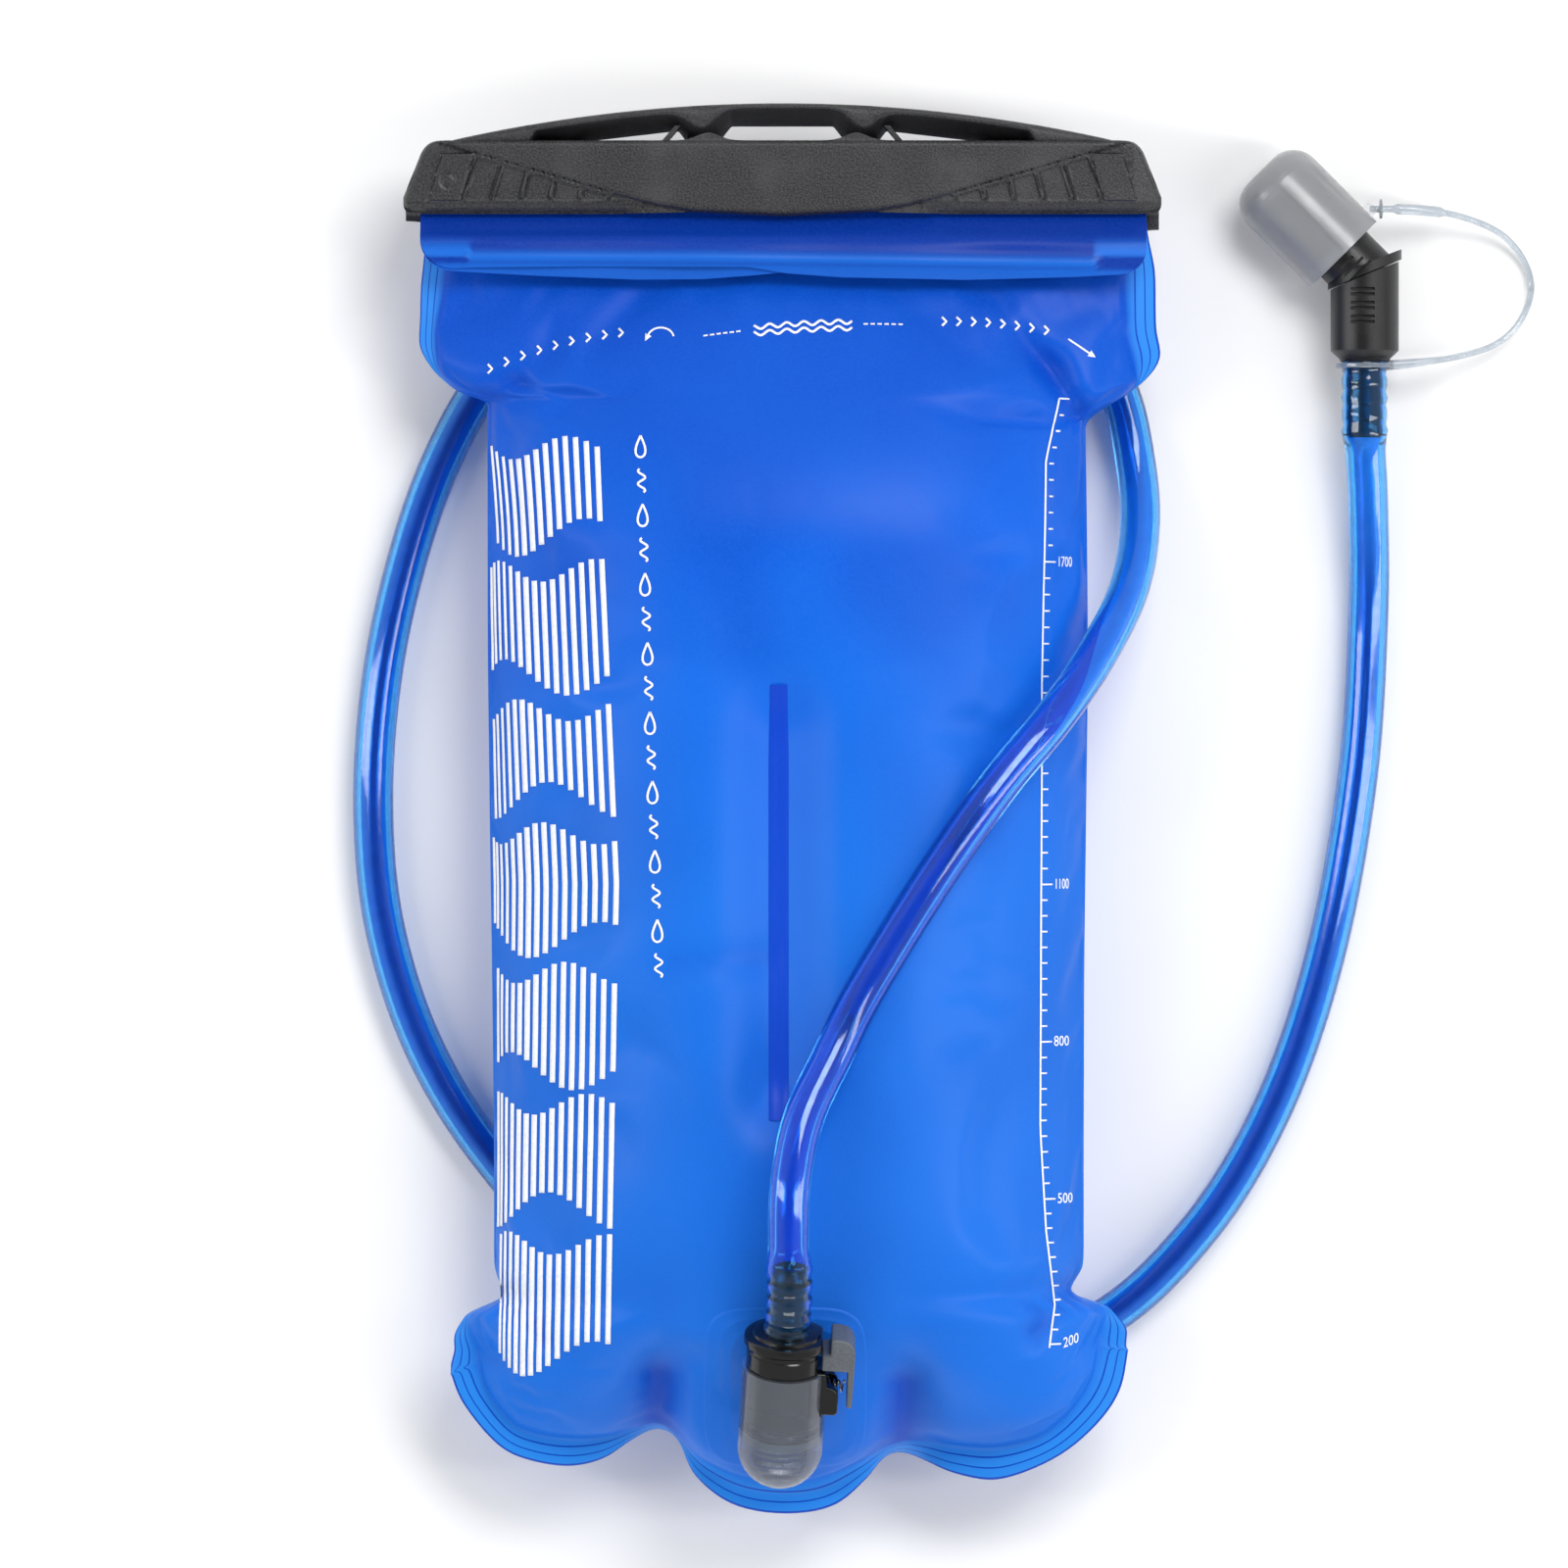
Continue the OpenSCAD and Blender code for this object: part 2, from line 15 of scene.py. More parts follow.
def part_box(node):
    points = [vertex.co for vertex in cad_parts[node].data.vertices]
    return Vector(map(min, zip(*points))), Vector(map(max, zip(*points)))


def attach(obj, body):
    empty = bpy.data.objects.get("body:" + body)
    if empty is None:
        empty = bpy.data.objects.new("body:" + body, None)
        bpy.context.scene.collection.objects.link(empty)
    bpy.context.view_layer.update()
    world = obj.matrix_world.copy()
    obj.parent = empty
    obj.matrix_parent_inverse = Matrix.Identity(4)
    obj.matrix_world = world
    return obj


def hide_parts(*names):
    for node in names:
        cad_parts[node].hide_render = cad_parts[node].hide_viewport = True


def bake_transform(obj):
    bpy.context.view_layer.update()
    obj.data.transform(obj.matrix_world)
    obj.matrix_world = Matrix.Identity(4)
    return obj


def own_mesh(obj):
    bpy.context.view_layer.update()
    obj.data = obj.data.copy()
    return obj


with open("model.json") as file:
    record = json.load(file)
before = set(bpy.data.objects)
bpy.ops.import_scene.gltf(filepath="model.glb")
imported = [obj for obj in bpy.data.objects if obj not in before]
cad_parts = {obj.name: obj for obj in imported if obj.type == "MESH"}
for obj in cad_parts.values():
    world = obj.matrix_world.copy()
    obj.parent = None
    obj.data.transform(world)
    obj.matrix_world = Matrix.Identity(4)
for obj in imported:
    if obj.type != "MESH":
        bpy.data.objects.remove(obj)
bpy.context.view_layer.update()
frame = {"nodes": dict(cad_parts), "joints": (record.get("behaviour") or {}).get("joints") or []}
scene = bpy.context.scene
JOINTS = {joint["name"]: joint for joint in frame["joints"]}
MM = 0.001


# ---- Small tools ------------------------------------------------------------------------


def lerp(a, b, t):
    """From a to b as t goes from 0 to 1."""
    return a + (b - a) * t


def smooth(t):
    """A soft step from 0 to 1 as t goes from 0 to 1."""
    t = np.clip(t, 0, 1)
    return t * t * (3 - 2 * t)


def bell(distance, width):
    """1 at no distance, falling to 0 past about twice the width."""
    return np.exp(-((distance / width) ** 2))


def catmull(points, steps):
    """Points on the smooth curve through points, steps to each stretch."""
    p = np.array(points, float)
    p = np.vstack([p[0], p, p[-1]])
    out = []
    for a, b, c, d in zip(p[:-3], p[1:-2], p[2:-1], p[3:]):
        for t in np.arange(steps) / steps:
            out.append(0.5 * (2 * b + (c - a) * t + (2 * a - 5 * b + 4 * c - d) * t * t
                              + (3 * b - a - 3 * c + d) * t ** 3))
    return np.array(out + [p[-1]])


def grid_faces(rows, cols, start=0, ring=False):
    """Faces of a grid of rows by cols points, row by row; ring joins its last column to its first."""
    span = cols if ring else cols - 1
    return [(start + j * cols + i, start + j * cols + (i + 1) % cols,
             start + (j + 1) * cols + (i + 1) % cols, start + (j + 1) * cols + i)
            for j in range(rows - 1) for i in range(span)]


def piece(name, points, faces, finish, sharp=35):
    """A mesh object from points in millimetres, smooth except at edges sharper than sharp degrees."""
    mesh = bpy.data.meshes.new(name)
    mesh.from_pydata((np.asarray(points, float).reshape(-1, 3) * MM).tolist(), [], faces)
    mesh.materials.append(finish)
    mesh.polygons.foreach_set("use_smooth", [True] * len(mesh.polygons))
    mesh.set_sharp_from_angle(angle=math.radians(sharp))
    obj = bpy.data.objects.new(name, mesh)
    scene.collection.objects.link(obj)
    return obj


def closed_grid(top, under):
    """Points and faces of the closed solid between two grids of one size."""
    rows, cols, _ = top.shape
    n = rows * cols
    upper = grid_faces(rows, cols)
    lower = [tuple(n + k for k in reversed(f)) for f in upper]
    rim = ([(i + 1, i, n + i, n + i + 1) for i in range(cols - 1)]
           + [(n - cols + i, n - cols + i + 1, 2 * n - cols + i + 1, 2 * n - cols + i)
              for i in range(cols - 1)]
           + [(j * cols, (j + 1) * cols, n + (j + 1) * cols, n + j * cols) for j in range(rows - 1)]
           + [((j + 2) * cols - 1, (j + 1) * cols - 1, n + (j + 1) * cols - 1, n + (j + 2) * cols - 1)
              for j in range(rows - 1)])
    return np.vstack([top.reshape(-1, 3), under.reshape(-1, 3)]), upper + lower + rim


def outward(obj):
    """Turns a closed mesh's faces to point outwards."""
    bpy.context.view_layer.objects.active = obj
    obj.select_set(True)
    bpy.ops.object.mode_set(mode="EDIT")
    bpy.ops.mesh.select_all(action="SELECT")
    bpy.ops.mesh.normals_make_consistent(inside=False)
    bpy.ops.object.mode_set(mode="OBJECT")
    obj.select_set(False)
    return obj


def apply_stack(obj):
    """Writes the result of the modifiers into the mesh."""
    bpy.context.view_layer.update()
    graph = bpy.context.evaluated_depsgraph_get()
    done = bpy.data.meshes.new_from_object(obj.evaluated_get(graph))
    obj.modifiers.clear()
    obj.data = done
    return obj


def level(obj, levels):
    """Subdivision surface, the same in the view and in the render."""
    m = obj.modifiers.new("smooth", "SUBSURF")
    m.levels = m.render_levels = levels
    return obj


def bevelled(obj, width, segments=2, angle=35):
    """Rounds edges sharper than angle by width millimetres."""
    m = obj.modifiers.new("bevel", "BEVEL")
    m.width, m.segments = width * MM, segments
    m.limit_method, m.angle_limit = "ANGLE", math.radians(angle)
    return obj


def turned(name, profile, finish, place, steps=64, sharp=35):
    """A turned shape: profile is (radius, height) from top to bottom, spun about Z and then placed."""
    mesh = bpy.data.meshes.new(name)
    edges = [(k, k + 1) for k in range(len(profile) - 1)]
    mesh.from_pydata([(r * MM, 0, h * MM) for r, h in profile], edges, [])
    obj = bpy.data.objects.new(name, mesh)
    scene.collection.objects.link(obj)
    m = obj.modifiers.new("turn", "SCREW")
    m.steps = m.render_steps = steps
    m.use_merge_vertices, m.merge_threshold = True, 0.00001
    m.use_smooth_shade = True
    apply_stack(obj)
    obj.data.materials.clear()
    obj.data.materials.append(finish)
    obj.data.transform(place)
    outward(obj)
    obj.data.set_sharp_from_angle(angle=math.radians(sharp))
    return obj


def joined(name, parts):
    """Several mesh objects as one piece."""
    bpy.ops.object.select_all(action="DESELECT")
    for part in parts:
        part.select_set(True)
    bpy.context.view_layer.objects.active = parts[0]
    bpy.ops.object.join()
    parts[0].name = name
    parts[0].select_set(False)
    return parts[0]


# ---- Materials --------------------------------------------------------------------------


def rgb(code):
    """An sRGB hex colour as linear RGBA."""
    parts = [int(code[k:k + 2], 16) / 255 for k in (1, 3, 5)]
    return [c / 12.92 if c <= 0.04045 else ((c + 0.055) / 1.055) ** 2.4 for c in parts] + [1]


def node(tree, kind, inputs=None, **settings):
    """Adds a node with its settings; inputs maps a socket to a value or to another node's output."""
    made = tree.nodes.new(kind)
    for key, value in settings.items():
        setattr(made, key, value)
    for key, value in (inputs or {}).items():
        socket = made.inputs[key]
        if isinstance(value, bpy.types.NodeSocket):
            tree.links.new(value, socket)
        else:
            socket.default_value = value
    return made


def finish(name, **sockets):
    """A material with one Principled shader and its plain values: (material, tree, shader)."""
    material = bpy.data.materials.new(name)
    material.use_nodes = True
    tree = material.node_tree
    shader = tree.nodes["Principled BSDF"]
    for key, value in sockets.items():
        shader.inputs[key.replace("_", " ")].default_value = value
    return material, tree, shader


def grain(tree, size_mm, detail=2.0, kind="ShaderNodeTexNoise"):
    """A pattern whose features are about size_mm across, on object coordinates."""
    place = node(tree, "ShaderNodeTexCoord")
    inputs = {"Vector": place.outputs["Object"], "Scale": 1 / (size_mm * MM)}
    if kind == "ShaderNodeTexNoise":
        inputs["Detail"] = detail
    return node(tree, kind, inputs)


def stretch(tree, value, low, high, to_low, to_high):
    """The value's range from low to high, stretched to run from to_low to to_high and clamped."""
    return node(tree, "ShaderNodeMapRange", {"Value": value, "From Min": low, "From Max": high,
                                             "To Min": to_low, "To Max": to_high}).outputs["Result"]


def mixed(tree, factor, a, b, blend="MIX"):
    """Colour a turned towards b by factor; each is a hex code or a socket."""
    made = node(tree, "ShaderNodeMix", {"Factor": factor}, data_type="RGBA", blend_type=blend)
    for socket, value in ((made.inputs[6], a), (made.inputs[7], b)):
        if isinstance(value, str):
            socket.default_value = rgb(value)
        else:
            tree.links.new(value, socket)
    return made.outputs[2]


def bumped(tree, shader, layers):
    """Bump from (height socket, distance in millimetres, strength) layers, one on the other."""
    normal = None
    for height, distance, strength in layers:
        inputs = {"Height": height, "Distance": distance * MM, "Strength": strength}
        if normal is not None:
            inputs["Normal"] = normal
        normal = node(tree, "ShaderNodeBump", inputs).outputs["Normal"]
    tree.links.new(normal, shader.inputs["Normal"])


# Lines that the welding tool presses into the flange: (place across it, half width), as shares of it
WELD_LINES = ((0.36, 0.025), (0.66, 0.02), (0.98, 0.03))


def film_finish(name, base, deep, pale, shine=0.34):
    """Blue TPU film, calendered with a frosted face: a soft satin sheen, paler where two films are
    welded together; painted light makes the body paler below its middle, and painted shade makes it deeper in
    the folds and towards the neck."""
    material, tree, shader = finish(name, IOR=1.5, Specular_IOR_Level=0.16)
    cloud = grain(tree, 45, 1.0)
    frost = grain(tree, 0.6, 3.0)
    ripple = grain(tree, 9, 1.0)
    weld = node(tree, "ShaderNodeAttribute", attribute_name="weld").outputs["Fac"]
    fold = node(tree, "ShaderNodeAttribute", attribute_name="fold").outputs["Fac"]
    colour = mixed(tree, stretch(tree, cloud.outputs["Fac"], 0.35, 0.65, 0, 0.5), base, deep)
    place = node(tree, "ShaderNodeTexCoord").outputs["Object"]
    along = node(tree, "ShaderNodeSeparateXYZ", {"Vector": place}).outputs["Y"]
    # Painted light: paler over the lower body, below 60 mm up the bag
    colour = mixed(tree, stretch(tree, along, 60 * MM, -20 * MM, 0, 0.3), colour, pale)
    # Painted shade: deeper towards the neck, above 60 mm up the bag
    colour = mixed(tree, stretch(tree, along, 60 * MM, 130 * MM, 0, 0.7), colour, deep)
    # Painted shade: deeper in the folds and creases that the fold attribute marks
    colour = mixed(tree, fold, colour, deep)
    colour = mixed(tree, weld, colour, pale)
    band = node(tree, "ShaderNodeAttribute", attribute_name="band").outputs["Fac"]
    lines = 0
    for at, half in WELD_LINES:
        line = node(tree, "ShaderNodeMath", {0: band, 1: at, 2: half}, operation="COMPARE").outputs[0]
        lines = node(tree, "ShaderNodeMath", {0: lines, 1: line}, operation="MAXIMUM").outputs[0]
    colour = mixed(tree, lines, colour, deep)
    speck = stretch(tree, frost.outputs["Fac"], 0.3, 0.7, 0.0, 0.10)
    colour = mixed(tree, speck, colour, pale)
    tree.links.new(colour, shader.inputs["Base Color"])
    rough = stretch(tree, frost.outputs["Fac"], 0.3, 0.7, shine, shine + 0.12)
    tree.links.new(rough, shader.inputs["Roughness"])
    bumped(tree, shader, [(frost.outputs["Fac"], 0.06, 0.25), (ripple.outputs["Fac"], 0.5, 0.12),
                          (lines, -0.3, 0.6)])
    return material


def tube_finish():
    """Extruded clear blue TPU tube: glassy, with faint draw lines along it."""
    material, tree, shader = finish("extruded_clear_blue_tpu", IOR=1.45, Transmission_Weight=0.98,
                                    Specular_IOR_Level=0.35, Coat_Weight=0.2, Coat_Roughness=0.04)
    haze = grain(tree, 3, 2.0)
    colour = mixed(tree, stretch(tree, haze.outputs["Fac"], 0.3, 0.7, 0, 1), "#60bfff", "#4db2fc")
    tree.links.new(colour, shader.inputs["Base Color"])
    tree.links.new(stretch(tree, haze.outputs["Fac"], 0.3, 0.7, 0.05, 0.12), shader.inputs["Roughness"])
    bumped(tree, shader, [(haze.outputs["Fac"], 0.1, 0.12)])
    return material


def moulded_finish(name, base, worn, grain_mm, depth, rough, **sockets):
    """Injection-moulded plastic with a spark-eroded grain; worn is its paler rubbed colour."""
    material, tree, shader = finish(name, IOR=1.5, **sockets)
    cells = grain(tree, grain_mm, 3.0)
    patch = grain(tree, 14, 2.0)
    colour = mixed(tree, stretch(tree, cells.outputs["Fac"], 0.35, 0.75, 0, 0.5), base, worn)
    colour = mixed(tree, stretch(tree, patch.outputs["Fac"], 0.5, 0.8, 0, 0.25), colour, worn)
    tree.links.new(colour, shader.inputs["Base Color"])
    tree.links.new(stretch(tree, patch.outputs["Fac"], 0.3, 0.7, rough - 0.05, rough + 0.07),
                   shader.inputs["Roughness"])
    bumped(tree, shader, [(cells.outputs["Fac"], depth, 0.7)])
    return material


def frosted_finish(name, tint, deep, clear, rough, haze_mm=2.2, depth=0.03):
    """Translucent polypropylene: milky, paler where it is thick, with a faint moulded haze."""
    material, tree, shader = finish(name, IOR=1.49, Transmission_Weight=clear, Coat_Weight=0.3,
                                    Coat_Roughness=0.15)
    haze = grain(tree, haze_mm, 3.0)
    colour = mixed(tree, stretch(tree, haze.outputs["Fac"], 0.3, 0.7, 0, 1), tint, deep)
    tree.links.new(colour, shader.inputs["Base Color"])
    roughness = stretch(tree, haze.outputs["Fac"], 0.3, 0.7, rough, rough + 0.12)
    tree.links.new(roughness, shader.inputs["Roughness"])
    bumped(tree, shader, [(haze.outputs["Fac"], depth, 0.15)])
    return material


def metal_finish():
    """Drawn stainless spring wire, with fine draw marks."""
    material, tree, shader = finish("drawn_spring_steel", Metallic=1.0)
    marks = grain(tree, 0.4, 2.0)
    colour = mixed(tree, marks.outputs["Fac"], "#b9bdc2", "#dfe2e5")
    tree.links.new(colour, shader.inputs["Base Color"])
    roughness = stretch(tree, marks.outputs["Fac"], 0.3, 0.7, 0.18, 0.34)
    tree.links.new(roughness, shader.inputs["Roughness"])
    return material


def ink_finish():
    """Screen-printed white ink: matt, slightly uneven."""
    material, tree, shader = finish("white_screen_ink", IOR=1.5)
    cover = grain(tree, 0.8, 3.0)
    colour = mixed(tree, stretch(tree, cover.outputs["Fac"], 0.35, 0.7, 0, 1), "#ffffff", "#e9f1ff")
    tree.links.new(colour, shader.inputs["Base Color"])
    tree.links.new(stretch(tree, cover.outputs["Fac"], 0.3, 0.7, 0.5, 0.65), shader.inputs["Roughness"])
    return material


FILM = film_finish("frosted_tpu_film", "#0c62da", "#0444bc", "#2a88e8")
LIP = film_finish("folded_tpu_film", "#0a48bc", "#042c90", "#2272dc", 0.28)
STRIP = film_finish("welded_tpu_strip", "#0a3fc2", "#0836b2", "#1c5cd8", 0.3)
TUBE = tube_finish()
SLIDER = moulded_finish("grained_black_abs", "#141416", "#56565a", 0.5, 0.14, 0.44)
NYLON = moulded_finish("satin_black_nylon", "#08080a", "#1c1c1f", 0.5, 0.05, 0.34)
GLOSS = moulded_finish("polished_black_acetal", "#050506", "#0c0c0e", 0.6, 0.01, 0.14)
GREY = moulded_finish("satin_grey_abs", "#50555c", "#70767e", 0.5, 0.03, 0.36)
WHITE = moulded_finish("white_acetal", "#cfd5da", "#e8ecef", 0.5, 0.03, 0.35)
RUBBER = moulded_finish("nitrile_rubber", "#161618", "#2b2b2e", 0.4, 0.03, 0.55)
HOUSING = frosted_finish("frosted_polypropylene", "#c4cddc", "#b3bece", 0.9, 0.1)
CAP = frosted_finish("milky_polypropylene", "#f8f9fb", "#f0f2f6", 0.84, 0.26, 9, 0.004)
SILICONE = frosted_finish("smoke_silicone", "#767d88", "#5f6670", 0.3, 0.3)
TETHER_CLEAR = frosted_finish("clear_pvc", "#d3dbe2", "#c3ccd5", 0.75, 0.06)
STEEL = metal_finish()
INK = ink_finish()


# ---- Camera, floor and light ------------------------------------------------------------

VIEW_WIDTH = 384 * MM
VIEW_DISTANCE = 3.2
VIEW_CENTRE = Vector((0.4, 6, 30)) * MM
SENSOR = 36


def add_camera():
    """Straight above the bladder, long enough to be nearly free of perspective."""
    data = bpy.data.cameras.new("camera")
    data.sensor_width = SENSOR
    data.lens = SENSOR * VIEW_DISTANCE / VIEW_WIDTH
    data.clip_start, data.clip_end = 0.1, 30
    camera = bpy.data.objects.new("camera", data)
    camera.location = VIEW_CENTRE + Vector((0, 0, VIEW_DISTANCE))
    scene.collection.objects.link(camera)
    scene.camera = camera


def add_light(name, place, size, power, colour="#ffffff"):
    """A soft rectangular lamp aimed at the middle of the bladder."""
    data = bpy.data.lights.new(name, "AREA")
    data.shape, data.size, data.size_y, data.energy = "RECTANGLE", size[0], size[1], power
    data.color = rgb(colour)[:3]
    lamp = bpy.data.objects.new(name, data)
    lamp.location = place
    aim = Vector((0, 0, 0.03)) - Vector(place)
    lamp.rotation_mode = "QUATERNION"
    lamp.rotation_quaternion = aim.to_track_quat("-Z", "Y")
    lamp.visible_camera = False
    scene.collection.objects.link(lamp)


def add_stage():
    """A plain pale floor, big enough to fill the view from every side."""
    material, tree, shader = finish("pale_floor", Roughness=0.8)
    paper = grain(tree, 30, 2.0)
    tree.links.new(mixed(tree, paper.outputs["Fac"], "#fbfbfb", "#ffffff"), shader.inputs["Base Color"])
    half = 12000
    floor = piece("floor", [(-half, -half, 0), (half, -half, 0), (half, half, 0), (-half, half, 0)],
                  [(0, 1, 2, 3)], material)
    world = bpy.data.worlds.new("studio")
    scene.world = world
    world.use_nodes = True
    # A bright horizon under a dimmer zenith, as in a tent of white paper with a dark opening above
    tree = world.node_tree
    place = node(tree, "ShaderNodeTexCoord")
    up = node(tree, "ShaderNodeSeparateXYZ", {"Vector": place.outputs["Generated"]}).outputs["Z"]
    tone = mixed(tree, stretch(tree, up, 0.75, 0.97, 0, 1), "#ffffff", "#7d7d80")
    tree.links.new(tone, tree.nodes["Background"].inputs["Color"])
    tree.nodes["Background"].inputs["Strength"].default_value = 0.6
    add_light("key", (0.45, 0.75, 1.25), (0.8, 0.5), 11)
    add_light("left_strip", (-0.95, 0.1, 0.75), (0.16, 1.0), 4)
    add_light("right_strip", (0.95, -0.1, 0.8), (0.16, 1.0), 4)
    add_light("front_fill", (0.0, -1.5, 0.55), (1.2, 0.3), 5)
    scene.view_settings.view_transform = "Standard"


add_camera()
add_stage()


# ---- Drinking tube ----------------------------------------------------------------------

TUBE_R = 5
TUBE_BORE = 3.1
ROUTE = [[1, -126.8, 71.9], [1.7, -117, 76.3], [1.5, -104, 80], [2, -90, 80],
         [5, -75, 76.5], [12, -60, 70], [20, -44, 66.4], [36, -18, 64.4], [52, 5, 59.6],
         [66, 22, 52], [77, 38, 40], [85, 54, 26], [88, 70, 14], [87, 86, 7], [83, 103, 5],
         [73, 120, 5], [56, 132, 5], [26, 139, 5], [-12, 138, 5], [-50, 127, 5],
         [-71, 108, 5], [-84, 86, 5], [-93, 60, 5], [-99, 31, 5], [-101, 0, 5],
         [-98, -30, 5], [-88, -60, 5], [-71, -87, 5], [-46, -113, 5], [-8, -136, 5],
         [36, -141, 5], [76, -128, 5], [102, -105, 5], [121, -74, 5], [134, -36, 5],
         [142, 8, 5], [144.6, 48, 5.4], [144.4, 74, 9.2], [143.4, 93, 12], [143.4, 110, 12]]
BARB_LENGTH = 18.5
BARB_SWELL = 0.55


def swept(line, radii, sides, up=(0, 0, 1)):
    """Rings of points round a line, one ring for each of its points."""
    ahead = np.gradient(line, axis=0)
    ahead /= np.linalg.norm(ahead, axis=1)[:, None]
    side = np.cross(ahead, up)
    side /= np.linalg.norm(side, axis=1)[:, None]
    up = np.cross(side, ahead)
    turn = 2 * math.pi * np.arange(sides) / sides
    return (line[:, None] + np.asarray(radii)[:, None, None]
            * (side[:, None] * np.cos(turn)[None, :, None] + up[:, None] * np.sin(turn)[None, :, None]))


def pipe(name, line, outer, inner, sides, finish):
    """A hollow tube along a line, with its two end rings closed between the walls."""
    rows = len(line)
    points = np.vstack([swept(line, r, sides).reshape(-1, 3) for r in (outer, inner)])
    n = rows * sides
    walls = grid_faces(rows, sides, ring=True)
    bore = [tuple(n + k for k in reversed(f)) for f in walls]
    ends = [((i + 1) % sides, i, n + i, n + (i + 1) % sides) for i in range(sides)]
    last = n - sides
    ends += [(last + i, last + (i + 1) % sides, n + last + (i + 1) % sides, n + last + i)
             for i in range(sides)]
    return outward(piece(name, points, walls + bore + ends, finish, sharp=50))


def add_tube():
    """The drinking tube, stretched over the barbs at both its ends."""
    line = catmull(ROUTE, 12)
    along = np.concatenate([[0], np.cumsum(np.linalg.norm(np.diff(line, axis=0), axis=1))])
    length = along[-1]
    from_end = np.minimum(along, length - along)
    over_barb = 1 - smooth((from_end - BARB_LENGTH + 1) / 5)
    ribs = 0.28 * np.sin(from_end / 4 * 2 * math.pi) * (from_end < BARB_LENGTH - 1)
    outer = TUBE_R + BARB_SWELL * over_barb + ribs
    inner = TUBE_BORE + (4.75 - TUBE_BORE) * over_barb
    tube = pipe("drinking_tube", line, outer, inner, 28, TUBE)
    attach(tube, "bladder")
    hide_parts("drink_tube")
    return tube, line, length


tube, tube_line, tube_length = add_tube()


# ---- Port's frame -------------------------------------------------------------------------

# Port's own frame: Z along the plug's axis, origin at the housing's rim. Its axis is the poppet's.
plug_axis = Vector(JOINTS["poppet_travel"]["axis"]).normalized()
press_axis = Vector(JOINTS["latch_press"]["axis"]).normalized()
PORT_RIM = Vector((0.6, -134.5, 68.5))


def port_matrix():
    """Millimetres in the port's frame to millimetres in the row frame: X right, Z along the plug."""
    right = -press_axis
    right = (right - plug_axis * right.dot(plug_axis)).normalized()
    turn = Matrix((right, plug_axis.cross(right), plug_axis)).transposed()
    return Matrix.Translation(PORT_RIM) @ turn.to_4x4()


PORT = port_matrix()


# ---- Bag ----------------------------------------------------------------------------------

NECK_Y = 147
SEAM_Z = 27
FILM_T = 0.6
FRONT_BULGE = 34
# Bottom weld as pairs: a point on the pillow's lower edge, and the flange's outer edge beyond it
BOTTOM = [((-74.3, -136.3), (-81.2, -139)), ((-71.9, -142.3), (-78.6, -145.5)),
          ((-67.1, -149), (-71.5, -154.5)), ((-62.8, -151.9), (-65, -158.9)),
          ((-54.1, -153.6), (-53.6, -161.3)), ((-44.3, -153.4), (-44.2, -159.6)),
          ((-36.4, -151.7), (-36.6, -154.7)), ((-30.4, -150.3), (-30.4, -152.2)),
          ((-26.2, -153.1), (-25.4, -154.8)), ((-19.8, -158.9), (-22, -163)),
          ((-9.5, -163.2), (-12.5, -170.6)), ((0.4, -164.4), (0.4, -173)),
          ((9, -163.4), (12.6, -171.1)), ((20, -159), (21.4, -163.6)),
          ((24.5, -156.6), (24.6, -159.4)), ((29.4, -154.8), (29.2, -158)),
          ((34, -154.3), (35, -160)), ((41.4, -155.3), (42.6, -163.2)),
          ((52.4, -155.8), (53.5, -164.6)), ((63, -153.4), (67.2, -159.2)),
          ((70.9, -146.6), (77.2, -151)), ((75.2, -139.9), (83, -142.5)),
          ((77.5, -132), (84.8, -133))]
EAR_NOTCHES = ((-71, -121.5), (74, -119.5))
LOBE_NOTCHES = (-30.4, 29.3)
foot_line = catmull([inner for inner, _ in BOTTOM], 12)
hem_line = catmull([outer for _, outer in BOTTOM], 12)
# Folds pressed into the front: from, to, width and depth
FOLDS = [((64, 109), (72.5, 97), 3.2, 4.2), ((60, 113), (66, 107), 4, 2.4),
         ((-73, 101), (-64, 104), 2.6, 2.6), ((-64, 104), (-56, 112), 4, 1.6),
         ((-68.5, -118), (-58, -128), 3, 3), ((70.5, -117.5), (61, -127), 3, 3),
         ((-30.4, -152), (-30, -138), 6, 5.5), ((29.3, -156), (29, -140), 6, 5),
         ((-11, 52), (-8, 40), 12, 1.6), ((-4, -36), (-26, -37), 4, 1.1)]
STRIP_X = -0.9
STRIP_Y = (29, -75)


def left_edge(y):
    """The pillow's left edge: body, shoulder, neck, and the tuck and ear above the bottom corner."""
    return (lerp(-70, -71.6, smooth((y + 100) / 160)) - 12.7 * np.clip((y - 100.3) / 6.7, 0, 1) ** 0.45
            + 2.7 * smooth((y - 112) / 30) + 2.2 * smooth((-112 - y) / 7.5)
            - 9.1 * smooth((-119.5 - y) / 5) + 2.6 * smooth((-126 - y) / 10))


def right_edge(y):
    """The pillow's right edge, as left_edge."""
    return (lerp(73.2, 74.2, bell(y - 40, 60)) + 13 * smooth((y - 93.5) / 11.5)
            - 2.8 * smooth((y - 106) / 12) - 3.2 * smooth((-111 - y) / 7.8)
            + 9.1 * smooth((-118.8 - y) / 3.5) - 1.6 * smooth((-123 - y) / 9))


def left_weld(y):
    """How far the weld stands out beyond the left edge."""
    return (0.7 + 4.3 * smooth((y - 105) / 9) + 1 * smooth((y - 118) / 12)
            + 4 * smooth((-123 - y) / 8) + 2.4 * smooth((-129 - y) / 8))


def right_weld(y):
    """How far the weld stands out beyond the right edge."""
    return (0.7 + 7.4 * smooth((y - 101.5) / 11) - 2.2 * smooth((y - 130) / 14)
            + 6.2 * smooth((-121 - y) / 8))


def foot_y(x):
    """The pillow's lower edge."""
    return np.interp(x, foot_line[:, 0], foot_line[:, 1])


